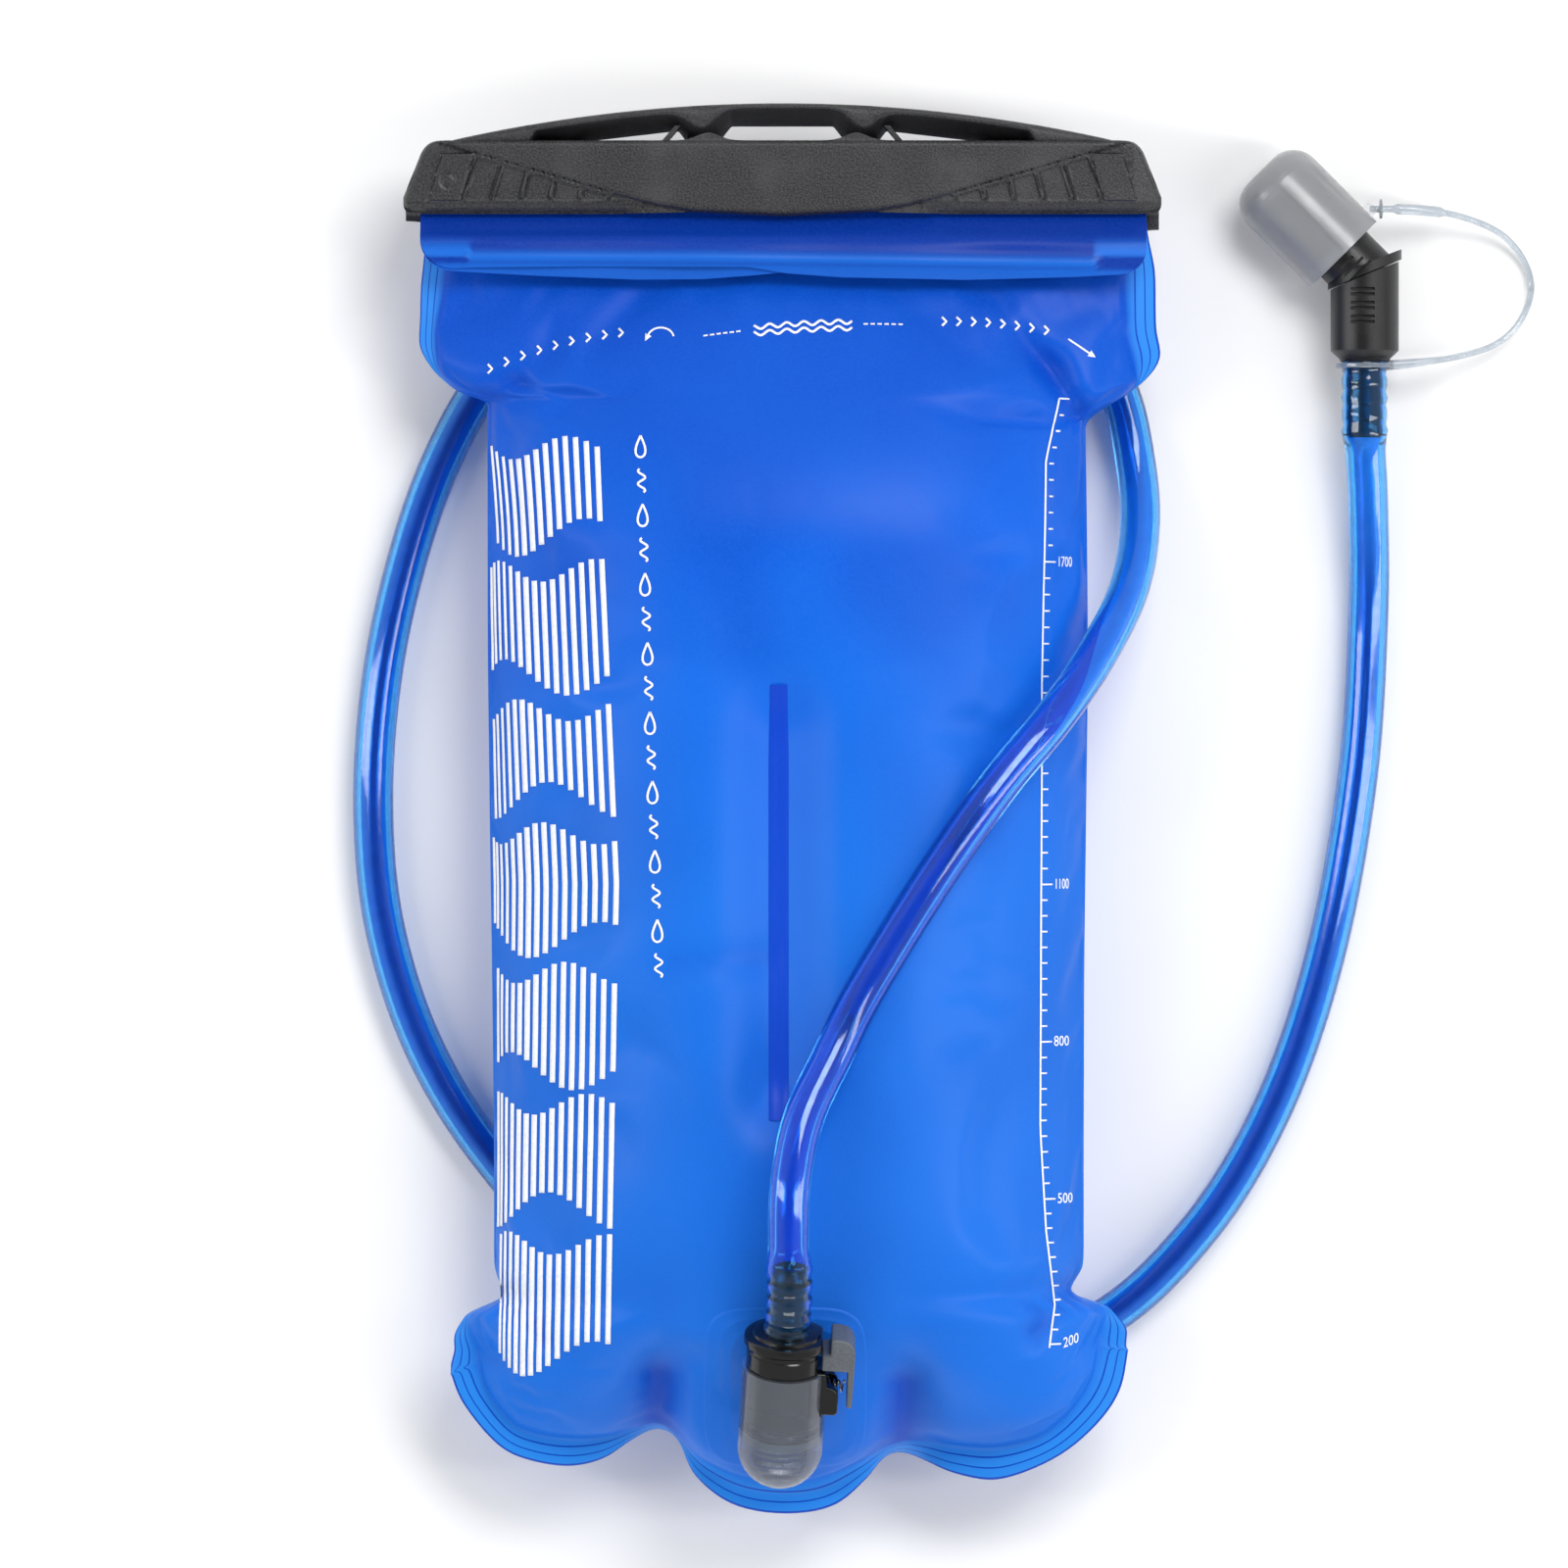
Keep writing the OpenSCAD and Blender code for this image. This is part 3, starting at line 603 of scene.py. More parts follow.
def near_line(x, y, a, b):
    """How far (x, y) is from the line between a and b."""
    dx, dy = b[0] - a[0], b[1] - a[1]
    t = np.clip(((x - a[0]) * dx + (y - a[1]) * dy) / (dx * dx + dy * dy), 0, 1)
    return np.hypot(x - a[0] - t * dx, y - a[1] - t * dy)


def port_plane(x, y):
    """The flat that the port's inner flange holds the film to: (its height, how much it counts)."""
    foot = PORT @ Vector((0, 14.8, -19))
    tilt = PORT.to_3x3() @ Vector((0, 1, 0))
    height = foot.z - ((x - foot.x) * tilt.x + (y - foot.y) * tilt.y) / tilt.z
    return height, 1 - smooth((np.hypot(x - foot.x, y - foot.y) - 13) / 16)


def front_height(x, y, u):
    """Height of the front film; u runs from -1 to 1 across the pillow."""
    d = y - foot_y(x)
    rise = lerp(1.2, FRONT_BULGE, smooth((NECK_Y - 6 - y) / 78))
    rise = rise * np.sqrt(1 - (1 - np.clip(d / 60, 0, 1)) ** 2)
    z = SEAM_Z + FILM_T + np.sqrt(np.maximum(0, 1 - np.abs(u) ** 2.4)) * rise
    along = smooth((y - STRIP_Y[1] + 12) / 22) * smooth((STRIP_Y[0] + 11 - y) / 22)
    z -= 8 * bell(x - STRIP_X, 9.5) * along
    inside = smooth((1 - np.abs(u)) / 0.05)
    for a, b, width, depth in FOLDS:
        z -= depth * bell(near_line(x, y, a, b), width) * np.minimum(1, (z - SEAM_Z) / 8) * inside
    plane, share = port_plane(x, y)
    return np.maximum(lerp(z, plane, share * inside), SEAM_Z + FILM_T * 0.5)


def back_height(x, y, u):
    """Height of the back film, pressed flat where the bladder lies."""
    d = y - foot_y(x)
    deep = lerp(1.2, SEAM_Z, smooth((NECK_Y - y) / 102)) * smooth(d / 104)
    z = SEAM_Z - FILM_T - np.maximum(0, 1 - np.abs(u) ** 3.2) ** 0.5 * (1.1 * deep - FILM_T)
    return 0.5 * (z + np.sqrt(z * z + 0.8))


def flange_height(y, out, notch):
    """Height of the weld band, out from 0 at the pillow to 1 at its rim; it dives at notches."""
    wave = 0.5 * np.sin(y / 7.5) * out
    return SEAM_Z - 1.2 * out + wave - 7.5 * notch * out ** 1.3


def row_heights():
    """Rows from the neck down the left edge, closer together at the shoulders and the bottom ears."""
    rows, y = [], float(NECK_Y)
    while y > -136.3:
        rows.append(y)
        y -= 1.15 if 92 < y < 109 or y < -115 else 3.1
    return np.array(rows + [-136.3])


BAG_COLS = 76
FLANGE_STEPS = 4


def bag_grid():
    """(x, y, u, out) of the film's grid: out is 0 on the pillow and grows to 1 at the weld's rim."""
    share = (NECK_Y - row_heights()) / (NECK_Y + 136.3)
    s = 0.5 - 0.5 * np.cos(np.pi * np.arange(BAG_COLS + 1) / BAG_COLS)
    s = 0.65 * s + 0.35 * np.arange(BAG_COLS + 1) / BAG_COLS
    x_end = lerp(foot_line[0, 0], foot_line[-1, 0], s)
    y = NECK_Y - share[:, None] * (NECK_Y - foot_y(x_end))[None, :]
    x = lerp(left_edge(y), right_edge(y), s[None, :])
    x[-1] = x_end
    x[-6:] = lerp(x[-6:], x_end[None, :], smooth(np.arange(1, 7) / 6)[:, None])
    u = np.broadcast_to(2 * s - 1, x.shape)
    steps = np.arange(1, FLANGE_STEPS + 1) / FLANGE_STEPS
    left = x[:, :1] - left_weld(y[:, :1]) * steps[None, ::-1]
    right = x[:, -1:] + right_weld(y[:, -1:]) * steps[None, :]
    ones = np.ones((len(y), FLANGE_STEPS))
    x = np.hstack([left, x, right])
    y = np.hstack([y[:, :1] * ones, y, y[:, -1:] * ones])
    u = np.hstack([-ones, u, ones])
    out = np.hstack([steps[None, ::-1] * ones, np.zeros((len(y), BAG_COLS + 1)), steps[None, :] * ones])
    hem = np.stack([np.interp(x_end, foot_line[:, 0], hem_line[:, k]) for k in (0, 1)])
    foot = np.stack([x_end, foot_y(x_end)])
    for k in steps:
        row = lerp(foot, hem, k)
        corner = [row[:, e, None] + steps * (1 - 0.98 * k) * np.array([[w], [0]])
                  for e, w in ((0, -left_weld(-136.3)), (-1, right_weld(-132)))]
        row = np.hstack([corner[0][:, ::-1], row, corner[1]])
        x = np.vstack([x, row[0]])
        y = np.vstack([y, row[1]])
        u = np.vstack([u, u[-1]])
        out = np.vstack([out, np.maximum(out[len(row_heights()) - 1], k)])
    return x, y, u, out


def add_bag():
    """The whole film bag as one closed shell: two panels, their weld band and its rim."""
    x, y, u, out = bag_grid()
    pillow = len(row_heights())
    notch = sum(bell(x - at, 5.5) for at in LOBE_NOTCHES) * (y < -140)
    for ear_x, ear_y in EAR_NOTCHES:
        notch = notch + bell(np.hypot(x - ear_x, y - ear_y), 4.5) * 0.8
    band = flange_height(x + y, out, np.minimum(notch, 1))
    on_pillow = out == 0
    top = np.where(on_pillow, front_height(x, y, u), band + 0.45)
    under = np.where(on_pillow, back_height(x, y, u), band - 0.45)
    weld = np.clip(out * 3, 0, 1)
    points, faces = closed_grid(np.dstack([x, y, top]), np.dstack([x, y, under]))
    bag = outward(piece("film_bag", points, faces, FILM, sharp=180))
    narrow = out * np.where(y > -110, smooth((y - 102) / 6), 1)
    weld = np.clip(weld * np.minimum(narrow * 4, 1), 0, 1)
    attribute(bag, "weld", np.concatenate([weld.ravel(), weld.ravel()]))
    # Painted shade along the pressed folds, kept in the fold attribute
    fold = sum(bell(near_line(x, y, a, b), width * 0.7) * depth / 5 for a, b, width, depth in FOLDS)
    attribute(bag, "band", np.concatenate([(out * (narrow > 0.1)).ravel()] * 2))
    attribute(bag, "fold", np.concatenate([np.clip(fold, 0, 1).ravel(), 0 * fold.ravel()]))
    held = (out > 0) | (y > 128) | (np.arange(len(y))[:, None] >= pillow - 1)
    settle(bag, np.concatenate([held.ravel(), (held | (under < 3)).ravel()]))
    level(bag, 1)
    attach(bag, "bladder")
    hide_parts("front_panel", "back_panel")
    return bag


def attribute(obj, name, values):
    """One number for each point, which the materials read."""
    made = obj.data.attributes.new(name, "FLOAT", "POINT")
    made.data.foreach_set("value", np.asarray(values, np.float32))


SETTLE_CAP = 3.5


def settle(obj, held):
    """Lets the film swell under the water's pressure, with its welds held; cap limits the move."""
    group = obj.vertex_groups.new(name="held")
    group.add(np.flatnonzero(held).tolist(), 1.0, "REPLACE")
    rest = np.array([v.co for v in obj.data.vertices])
    cloth = obj.modifiers.new("cloth", "CLOTH")
    c = cloth.settings
    c.quality, c.mass = 6, 0.2
    c.tension_stiffness = c.compression_stiffness = 25
    c.shear_stiffness, c.bending_stiffness = 8, 0.4
    c.vertex_group_mass = "held"
    c.use_pressure, c.uniform_pressure_force = True, 4
    c.shrink_min = -0.025
    c.effector_weights.gravity = 0
    for f in range(1, 21):
        scene.frame_set(f)
    graph = bpy.context.evaluated_depsgraph_get()
    moved = np.array([v.co for v in obj.evaluated_get(graph).data.vertices])
    obj.modifiers.remove(cloth)
    scene.frame_set(1)
    step = moved - rest
    far = np.linalg.norm(step, axis=1)
    cap = SETTLE_CAP * MM
    step *= (np.tanh(far / cap) * cap / np.maximum(far, 1e-9))[:, None]
    step[held] = 0
    moved = rest + step
    moved[:, 2] = np.maximum(moved[:, 2], 0.0001)
    obj.data.vertices.foreach_set("co", moved.ravel())
    obj.data.update()


bag = add_bag()


class Film:
    """The finished front film, looked up from above."""

    def __init__(self, obj):
        bpy.context.view_layer.update()
        self.tree = BVHTree.FromObject(obj, bpy.context.evaluated_depsgraph_get())

    def height(self, x, y):
        """Height of the film at (x, y), in millimetres; the seam's height beside it."""
        hit = self.tree.ray_cast(Vector((x * MM, y * MM, 0.3)), Vector((0, 0, -1)))[0]
        return hit.z / MM if hit else SEAM_Z

    def lay(self, points, lift):
        """Points on the film, raised straight up."""
        return np.array([(x, y, self.height(x, y) + lift) for x, y in points])

    def print_on(self, points, lift):
        """Points on the film, raised along its normal, as a print on a steep side needs."""
        laid = []
        for x, y in points:
            hit, normal = self.tree.ray_cast(Vector((x * MM, y * MM, 0.3)), Vector((0, 0, -1)))[:2]
            laid.append(hit / MM + normal * lift if hit else Vector((x, y, SEAM_Z)))
        return np.array(laid)


film = Film(bag)


# ---- Weld strip and port patch --------------------------------------------------------------


def add_strip():
    """The film strip welded down the middle, in the groove that it draws into the front."""
    rows, across = 60, np.linspace(-1, 1, 7)
    y = np.linspace(STRIP_Y[0] + 1, STRIP_Y[1] - 0.6, rows)
    half = 2.4 - 0.3 * smooth((y - 10) / 20)
    xs = STRIP_X + half[:, None] * across[None]
    xy = np.stack([xs, np.broadcast_to(y[:, None], xs.shape)], -1)
    base = film.lay(xy.reshape(-1, 2), 0).reshape(rows, 7, 3)
    top, under = base.copy(), base.copy()
    top[..., 2] += 0.1 + 0.4 * (1 - across[None] ** 6)
    under[..., 2] -= 0.3
    points, faces = closed_grid(top, under)
    strip = outward(piece("baffle_strip_weld", points, faces, STRIP))
    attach(strip, "bladder")
    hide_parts("baffle_strip")


# Each step of the patch: left, right, top and bottom of its rounded rectangle
PATCH_STEPS = [(-18.8, 20.2, -121.2, -160.4), (-15.8, 18.2, -123.6, -158.6), (-13, 15.8, -126.2, -156.6),
               (-7, 8.2, -136, -152)]


def patch_ring(step, grow, spokes):
    """Points round one step, grow millimetres wider."""
    left, right, top, bottom = step
    turn = 2 * math.pi * np.arange(spokes) / spokes
    c, q = np.cos(turn), np.sin(turn)
    k = (np.abs(c) ** 5 + np.abs(q) ** 5) ** -0.2
    return np.stack([(left + right) / 2 + k * c * ((right - left) / 2 + grow),
                     (top + bottom) / 2 + k * q * ((top - bottom) / 2 + grow)], -1)


def add_patch():
    """The reinforcing patch under the port, thicker in rounded steps towards its middle."""
    spokes = 120
    rings, rises = [], []
    for k, step in enumerate(PATCH_STEPS):
        for grow, rise in ((0.35, 0.02), (0, 0.3), (-0.45, 0.36)):
            rings.append(patch_ring(step, grow, spokes))
            rises.append(0.36 * min(k, 2.5) + rise)
    base = np.array([film.lay(ring, 0) for ring in rings])
    top, under = base.copy(), base.copy()
    top[..., 2] += np.array(rises)[:, None]
    under[..., 2] -= 0.4
    rows = len(rings)
    n = rows * spokes
    upper = grid_faces(rows, spokes, ring=True)
    lower = [tuple(n + i for i in reversed(f)) for f in upper]
    rims = [(i, (i + 1) % spokes, n + (i + 1) % spokes, n + i) for i in range(spokes)]
    last = n - spokes
    rims += [(last + i, last + (i + 1) % spokes, n + last + (i + 1) % spokes, n + last + i)
             for i in range(spokes)]
    patch = outward(piece("port_patch_steps", np.vstack([top.reshape(-1, 3), under.reshape(-1, 3)]),
                          upper + lower + rims, FILM, sharp=60))
    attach(patch, "bladder")
    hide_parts("port_patch")


add_strip()
add_patch()


# ---- Folded mouth ---------------------------------------------------------------------------

# Axis of the fold inside the slider, as (y, z)
FOLD = (154, 28.4)
LIP_LEFT = -88.6
LIP_RIGHT = 89.0
# The welded stiffener's lower edge, across the front of each lip
RIDGE = ((-77.6, 134.9), (-20, 134.6), (75.7, 133.2))


def fold_path(radius, lift):
    """(y, z) of one film from the neck, round the fold in the slider and down the front."""
    bend = [(FOLD[0] + radius * math.cos(a), FOLD[1] + radius * math.sin(a))
            for a in np.radians(np.linspace(-90, 90, 11))]
    run = ([(147.1, 28.4 - radius), (149, FOLD[1] - radius), (151, FOLD[1] - radius)] + bend
           + [(151, FOLD[1] + radius), (148, FOLD[1] + radius), (145.2, 28.6 + radius)])
    front = catmull([(145.2, 28.6 + radius), (141.8, 32 + lift), (138.8, 34.6 + lift),
                     (136, 35.4 + lift), (133, 35.6 + lift), (130, 35.7 + lift)], 5)
    return np.array(run[:-1] + front.tolist())


def add_lip(name, radius, lift, lower_edge, nodes):
    """One folded lip, a sheet with a welded stiffener ridge and pressed weld squares at its ends."""
    path = fold_path(radius, lift)
    edge_x, edge_y = np.array(lower_edge).T
    s = np.linspace(-1, 1, 121)
    s = 0.5 * (s + np.sin(s * math.pi / 2))
    left, right, mid = LIP_LEFT, LIP_RIGHT, (LIP_LEFT + LIP_RIGHT) / 2
    x_flat = lerp(left, right, (s + 1) / 2)
    end = np.interp(x_flat, edge_x, edge_y)
    y = np.where(path[:, :1] < 141, 141 - (141 - path[:, :1]) * (141 - end[None]) / 11.0, path[:, :1])
    y = np.where((np.arange(len(path)) < 12)[:, None], path[:, :1], y)
    in_front = (np.arange(len(path)) > 14)[:, None]
    sides = []
    for edge, radius_mm in ((left, 8.0), (right, -6.5)):
        low = np.clip((end[None] + abs(radius_mm) - y) / abs(radius_mm), 0, 1)
        sides.append(edge + radius_mm * (1 - np.sqrt(1 - low ** 2)) * in_front)
    x = lerp(sides[0], sides[1], (s[None] + 1) / 2)
    z = np.broadcast_to(path[:, 1:], x.shape).copy()
    front = smooth((140 - y) / 4) * in_front
    ridge_x, ridge_y = np.array(RIDGE).T
    on_ridge = bell(np.abs(y - np.interp(x, ridge_x, ridge_y)), 1.4) * (np.abs(x) < 77)
    z += front * (0.7 * on_ridge + 0.35 * np.sin(x / 21 + radius) + 0.2 * np.sin(x / 7.3 + 2 * radius))
    down = np.gradient(np.dstack([x, y, z]), axis=0)
    side = np.gradient(np.dstack([x, y, z]), axis=1)
    normal = np.cross(side, down)
    normal /= np.linalg.norm(normal, axis=2)[..., None]
    sheet = np.dstack([x, y, z])
    points, faces = closed_grid(sheet + normal * 0.3, sheet - normal * 0.3)
    lip = outward(piece(name, points, faces, LIP, sharp=60))
    squares = smooth((np.abs(x - mid) - 76) / 0.8) * smooth((y - 134.5) / 0.8) * (z > 30)
    band = smooth((np.interp(x, ridge_x, ridge_y) - 1 - y) / 1.2) * 0.55
    # Paler on the weld squares and on the thin film below the ridge, and a painted highlight along the welded
    # stiffener's ridge
    weld = np.clip(np.maximum(squares * 0.8, band) * front + on_ridge * front * 0.75, 0, 1).ravel()
    attribute(lip, "weld", np.concatenate([weld, weld]))
    # Painted shade: deeper high on the lip, round the fold in the slider and under it
    fold = (smooth((y - 138) / 6) * 0.9).ravel()
    attribute(lip, "fold", np.concatenate([fold, fold]))
    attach(lip, "bladder")
    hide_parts(*nodes)


add_lip("front_lip", 1.8, 0.9, [(-89, 132), (-81, 132.3), (-52, 132.6), (-10, 132.4), (0, 130.8),
                                (15, 129.8), (48, 129.2), (77, 129.9), (89, 130.5)],
        ["outer_lip", "outer_stiffener"])
add_lip("rear_lip", 0.9, 0.0, [(-89, 131.4), (-65, 130.2), (-40, 129.3), (-22, 129.4), (-10, 130.2),
                               (5, 131.5), (89, 131.8)], ["inner_lip", "inner_stiffener"])


# ---- Slider bar -----------------------------------------------------------------------------

slider_lo, slider_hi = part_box("slider_bar")
SLIDER_FRONT = slider_hi.z / MM
SLIDER_BACK = slider_lo.z / MM
SLIDER_MID = FOLD[1]
BODY_TOP = 163.4
POST_X = 19.8
RIB_PITCH = 7.2
RIB_FOOT = (-78.4, 148.9)


def arch_y(x):
    """Top of the handle's arch."""
    return 172.5 - 0.00138 * x * x


def body_ends(y):
    """Half length of the bar at height y: it slants in towards the arch with rounded corners."""
    half = 92.8 - 5.4 * np.clip((y - 149.5) / 13.5, 0, 1)
    round_top = np.clip((y - 160) / 3.4, 0, 1)
    round_foot = np.clip((148.2 - y) / 3, 0, 1)
    return half - 2.6 * (1 - np.sqrt(1 - round_top ** 2)) - 2.4 * (1 - np.sqrt(1 - round_foot ** 2))


def body_relief(x, y):
    """Height of the bar's front face over its flat: a grained raised middle and ribbed ends."""
    a = np.abs(x)
    slope_top = 150.5 + 0.292 * (a - 42.4)
    middle = np.interp(a, [0, 22, 30.8, 37, 42.4], [144.9, 145.9, 147.4, 149, 150.5])
    edge = np.where(a < 42.4, middle, slope_top)
    face = smooth((y - edge) / 0.9 + 0.2)
    z = lerp(-1.3, 0, face)
    lean = (y - RIB_FOOT[1]) * 0.29
    k = (a + lean - 42.4) / RIB_PITCH
    off = np.abs(k - np.round(k)) * RIB_PITCH
    in_cells = (a + lean > 41.8) & (a + lean < 78.9) & (y > RIB_FOOT[1] - 0.3) & (y < slope_top + 0.4)
    rail = smooth((0.95 - off) / 0.35) - 0.65 * smooth((0.4 - off) / 0.25)
    near_top = smooth((0.7 - np.abs(slope_top - 0.2 - y)) / 0.3)
    z = np.where(in_cells, -1.45 + 0.75 * np.maximum(rail, near_top), z)
    tab = (a + lean >= 78.9) & (a + lean < 86.5) & (y > RIB_FOOT[1] - 0.3) & (y < 160.4)
    z = np.where(tab, -0.55, z)
    z = np.where(tab, z - 0.35 * bell(np.hypot(a - 81.8, y - 153.6) - 1.7, 0.3) * (x < 0), z)
    outer = smooth((a + lean - 86.3) / 1.2)
    z = lerp(z, -1.3 - 0.16 * np.maximum(a - 86, 0), outer * (y > 145))
    foot = np.clip((RIB_FOOT[1] - 0.3 - y) / 3.6, 0, 1) * smooth((a - 30) / 10)
    z -= 2.6 * foot ** 1.5
    z -= 0.8 * np.clip((y - 162.2) / 1.2, 0, 1) ** 2
    z -= 0.5 * np.clip((edge + 1.2 - y) / 1.2, 0, 1) ** 2 * (a < 34)
    return z


def channel_half(y):
    """Half the slot's opening at height y, round the folded mouth."""
    round_part = np.sqrt(np.maximum(0, 3.9 ** 2 - (y - FOLD[0]) ** 2))
    return np.maximum(np.where(y < FOLD[0], 2.7 + 1.6 * smooth((147.5 - y) / 2.5), 0), round_part)


def bar_shell(name, x, y, outer, back):
    """Half of the bar: from its outer face in to the slot."""
    inner = SLIDER_MID + (-1 if back else 1) * channel_half(y)
    points, faces = closed_grid(np.dstack([x, y, outer]), np.dstack([x, y, inner]))
    return outward(piece(name, points, faces, SLIDER, sharp=50))


def arch_shell():
    """The handle's arch with its two posts: its underside slants back from the front's edge."""
    x = np.linspace(-84, 84, 345)
    a = np.abs(x)
    top = arch_y(x) - 0.35 * smooth((a - 78) / 10)
    post = bell(a - POST_X, 4.6)
    front_low = np.where(a < POST_X, lerp(170.9, 166.4, post), lerp(top - 1.9, 166.4, post))
    front_low = lerp(front_low, 162.6, smooth((a - 60) / 2.5))
    back_hole = np.interp(a, [0, 12.5, 16, 23, 25.5, 27.4, 49, 52],
                          [167.4, 167.4, 163, 163, 166.2, 166.1, 163.6, 162.6])
    back_low = np.minimum(back_hole, front_low)
    s = np.linspace(0, 1, 9)[:, None]
    crown = 1 - np.abs(2 * s - 1) ** 3
    y_front = lerp(top[None], front_low[None], s)
    y_back = lerp(top[None], back_low[None], s)
    z_front = SLIDER_FRONT - 1.6 + 1.1 * crown + 0 * y_front
    z_back = SLIDER_BACK + 1.2 + 0 * y_back
    xx = np.broadcast_to(x, y_front.shape)
    points, faces = closed_grid(np.dstack([xx, y_front, z_front]), np.dstack([xx, y_back, z_back]))
    return outward(piece("arch", points, faces, SLIDER, sharp=40))


def brace(side):
    """A thin web that ties the arch to the bar beside the post."""
    foot, head = (side * 29.2, 163), (side * 25.6, 167.2)
    w = 0.7
    front = [(foot[0] - w, foot[1]), (foot[0] + w, foot[1]),
             (head[0] + w, head[1]), (head[0] - w, head[1])]
    points = [(px, py, z) for z in (SLIDER_MID + 3, SLIDER_BACK + 2) for px, py in front]
    faces = [(0, 1, 2, 3), (7, 6, 5, 4), (0, 4, 5, 1), (1, 5, 6, 2), (2, 6, 7, 3), (3, 7, 4, 0)]
    return outward(piece("brace", points, faces, SLIDER))


def add_slider():
    """The slider: a slotted bar with a ribbed, grained face and the arched handle over it."""
    t = np.linspace(0, 1, 49)[:, None]
    s = np.linspace(-1, 1, 465)[None]
    a = np.abs(s * 92.8)
    low = np.interp(a, [0, 22, 32, 42], [144.9, 145.9, 145.7, 145.5]) + 0.3 * smooth((a - 88) / 4)
    high = BODY_TOP + 1.9 * bell(a - POST_X, 4.2)
    y = lerp(high, low, t) + 0 * s
    x = s * body_ends(np.minimum(y, BODY_TOP))
    rim = np.clip((np.abs(s) - 0.985) / 0.015, 0, 1)
    front_z = SLIDER_FRONT + body_relief(x, y) - 1.8 * rim ** 2
    front = bar_shell("front", x, y, front_z, False)
    low_back = low - 0.2 - 3.6 * smooth((a - 88.3) / 0.8) * np.where(s > 0, 1, 0.4)
    y = lerp(high - 0 * s, low_back, t)
    x = s * body_ends(np.clip(y, 146.5, BODY_TOP))
    back_z = SLIDER_BACK + 1.2 * rim ** 2 + 1.0 * np.clip((y - 161.5) / 2, 0, 1) ** 2 + 0 * s
    back = bar_shell("back", x, y, back_z, True)
    bar = joined("slider_bar_moulding", [front, back, arch_shell(), brace(-1), brace(1)])
    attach(bar, "slider")
    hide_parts("slider_bar")


add_slider()


# ---- White prints ---------------------------------------------------------------------------

INK_LIFT = 0.16
PRINTS = []


def stroke(points, width):
    """A printed line through points (x, y), kept as pairs of edge points; width may be a pair."""
    p = np.array(points, float)
    fine = [p[0]]
    for a, b in zip(p[:-1], p[1:]):
        steps = max(1, int(np.ceil(np.hypot(*(b - a)) / 1.2)))
        fine += [lerp(a, b, k / steps) for k in range(1, steps + 1)]
    p = np.array(fine)
    wide = np.linspace(*width, len(p)) if np.ndim(width) else np.full(len(p), width)
    ahead = np.gradient(p, axis=0)
    ahead /= np.linalg.norm(ahead, axis=1)[:, None]
    side = np.stack([-ahead[:, 1], ahead[:, 0]], -1) * wide[:, None] / 2
    PRINTS.append(np.stack([p + side, p - side], 1))


def stripe_x(y, number):
    """Where stripe number lies at height y; stripes keep their spacing along the film."""
    inner = np.interp(y, [-136, -18, 92], [-42.5, -40.2, -45.2])
    y = max(y, -104)
    mid, half = (left_edge(y) + right_edge(y)) / 2, (right_edge(y) - left_edge(y)) / 2
    x = np.linspace(inner, mid - half + 0.4, 60)
    z = front_height(x, np.full_like(x, y), (x - mid) / half)
    run = np.concatenate([[0], np.cumsum(np.hypot(np.diff(x), np.diff(z)))])
    return float(np.interp(2.72 * number, run, x)) if 2.72 * number < run[-1] else None


def print_stripes():
    """A generic water pattern: stripes down the side, broken by waves."""
    bands = [(90, 66), (60, 32), (26, 2), (-4, -32), (-38, -64), (-70, -98), (-104, -134)]
    for number in range(16):
        for k, (high, low) in enumerate(bands):
            swing = 4.5 * math.sin(number * 0.55 + 1.3 * k)
            top, foot = high + swing * 0.6 - 2, low + 4.5 * math.sin(number * 0.42 + 2.1 * k + 1)
            ys = np.linspace(top, foot, 9)
            xs = [stripe_x(y, number) for y in ys]
            if None not in xs:
                stroke(np.stack([xs, ys], -1), 1.3 * min(1, max(0.45, (xs[4] + 72) / 9)))


def print_drops():
    """A row of drop outlines between short waves."""
    for k in range(16):
        y = 88 - 8.4 * k
        x = np.interp(y, [-43, 92], [-29.8, -34.6])
        turn = np.linspace(0, 2 * math.pi, 21)
        if k % 2 == 0:
            line = [(x + 1.7 * math.sin(a) * math.sin(a / 2) ** 1.4, y + 2.7 * math.cos(a)) for a in turn]
        else:
            line = [(x + 0.9 * math.sin(v * 2.2), y + 1.1 * v) for v in np.linspace(-2.6, 2.6, 22)]
        stroke(line, 0.55)


# The scale's line as (y, x) from its foot up, and its numbers by height
SCALE = [(-131.5, 65), (-121, 66.4), (-103, 64.2), (-78, 62.8), (30, 63.2), (85, 64.2), (100, 67.6)]
SCALE_MARKS = [(60.2, "1700"), (20.2, "1400"), (-18.5, "1100"), (-56.9, "800"), (-95.3, "500"),
               (-130.6, "200")]
SCALE_TOP = 100.2
SCALE_LINE = 0.42
LONG_TICK = 2.8


def scale_x(y):
    """Where the volume scale's line runs."""
    return float(np.interp(y, [p[0] for p in SCALE], [p[1] for p in SCALE]))


def print_scale():
    """The volume scale down the right side, in millilitres."""
    ys = np.linspace(SCALE_TOP, SCALE[0][0], 90)
    stroke([(scale_x(y), y) for y in ys], SCALE_LINE)
    stroke([(scale_x(SCALE_TOP), SCALE_TOP), (scale_x(SCALE_TOP) + 2.6, SCALE_TOP)], SCALE_LINE)
    for (high, _), (low, _) in zip(SCALE_MARKS[:-1], SCALE_MARKS[1:]):
        for k in range(10):
            y = lerp(high, low, k / 10)
            stroke([(scale_x(y), y), (scale_x(y) + (LONG_TICK if k == 0 else 1.6), y)], SCALE_LINE)
    for k in range(1, 10):
        y = lerp(SCALE_TOP, SCALE_MARKS[0][0], k / 10)
        stroke([(scale_x(y) + 0.9, y), (scale_x(y) + 2, y)], SCALE_LINE)
    last = SCALE_MARKS[-1][0]
    stroke([(scale_x(last), last), (scale_x(last) + LONG_TICK, last)], SCALE_LINE)


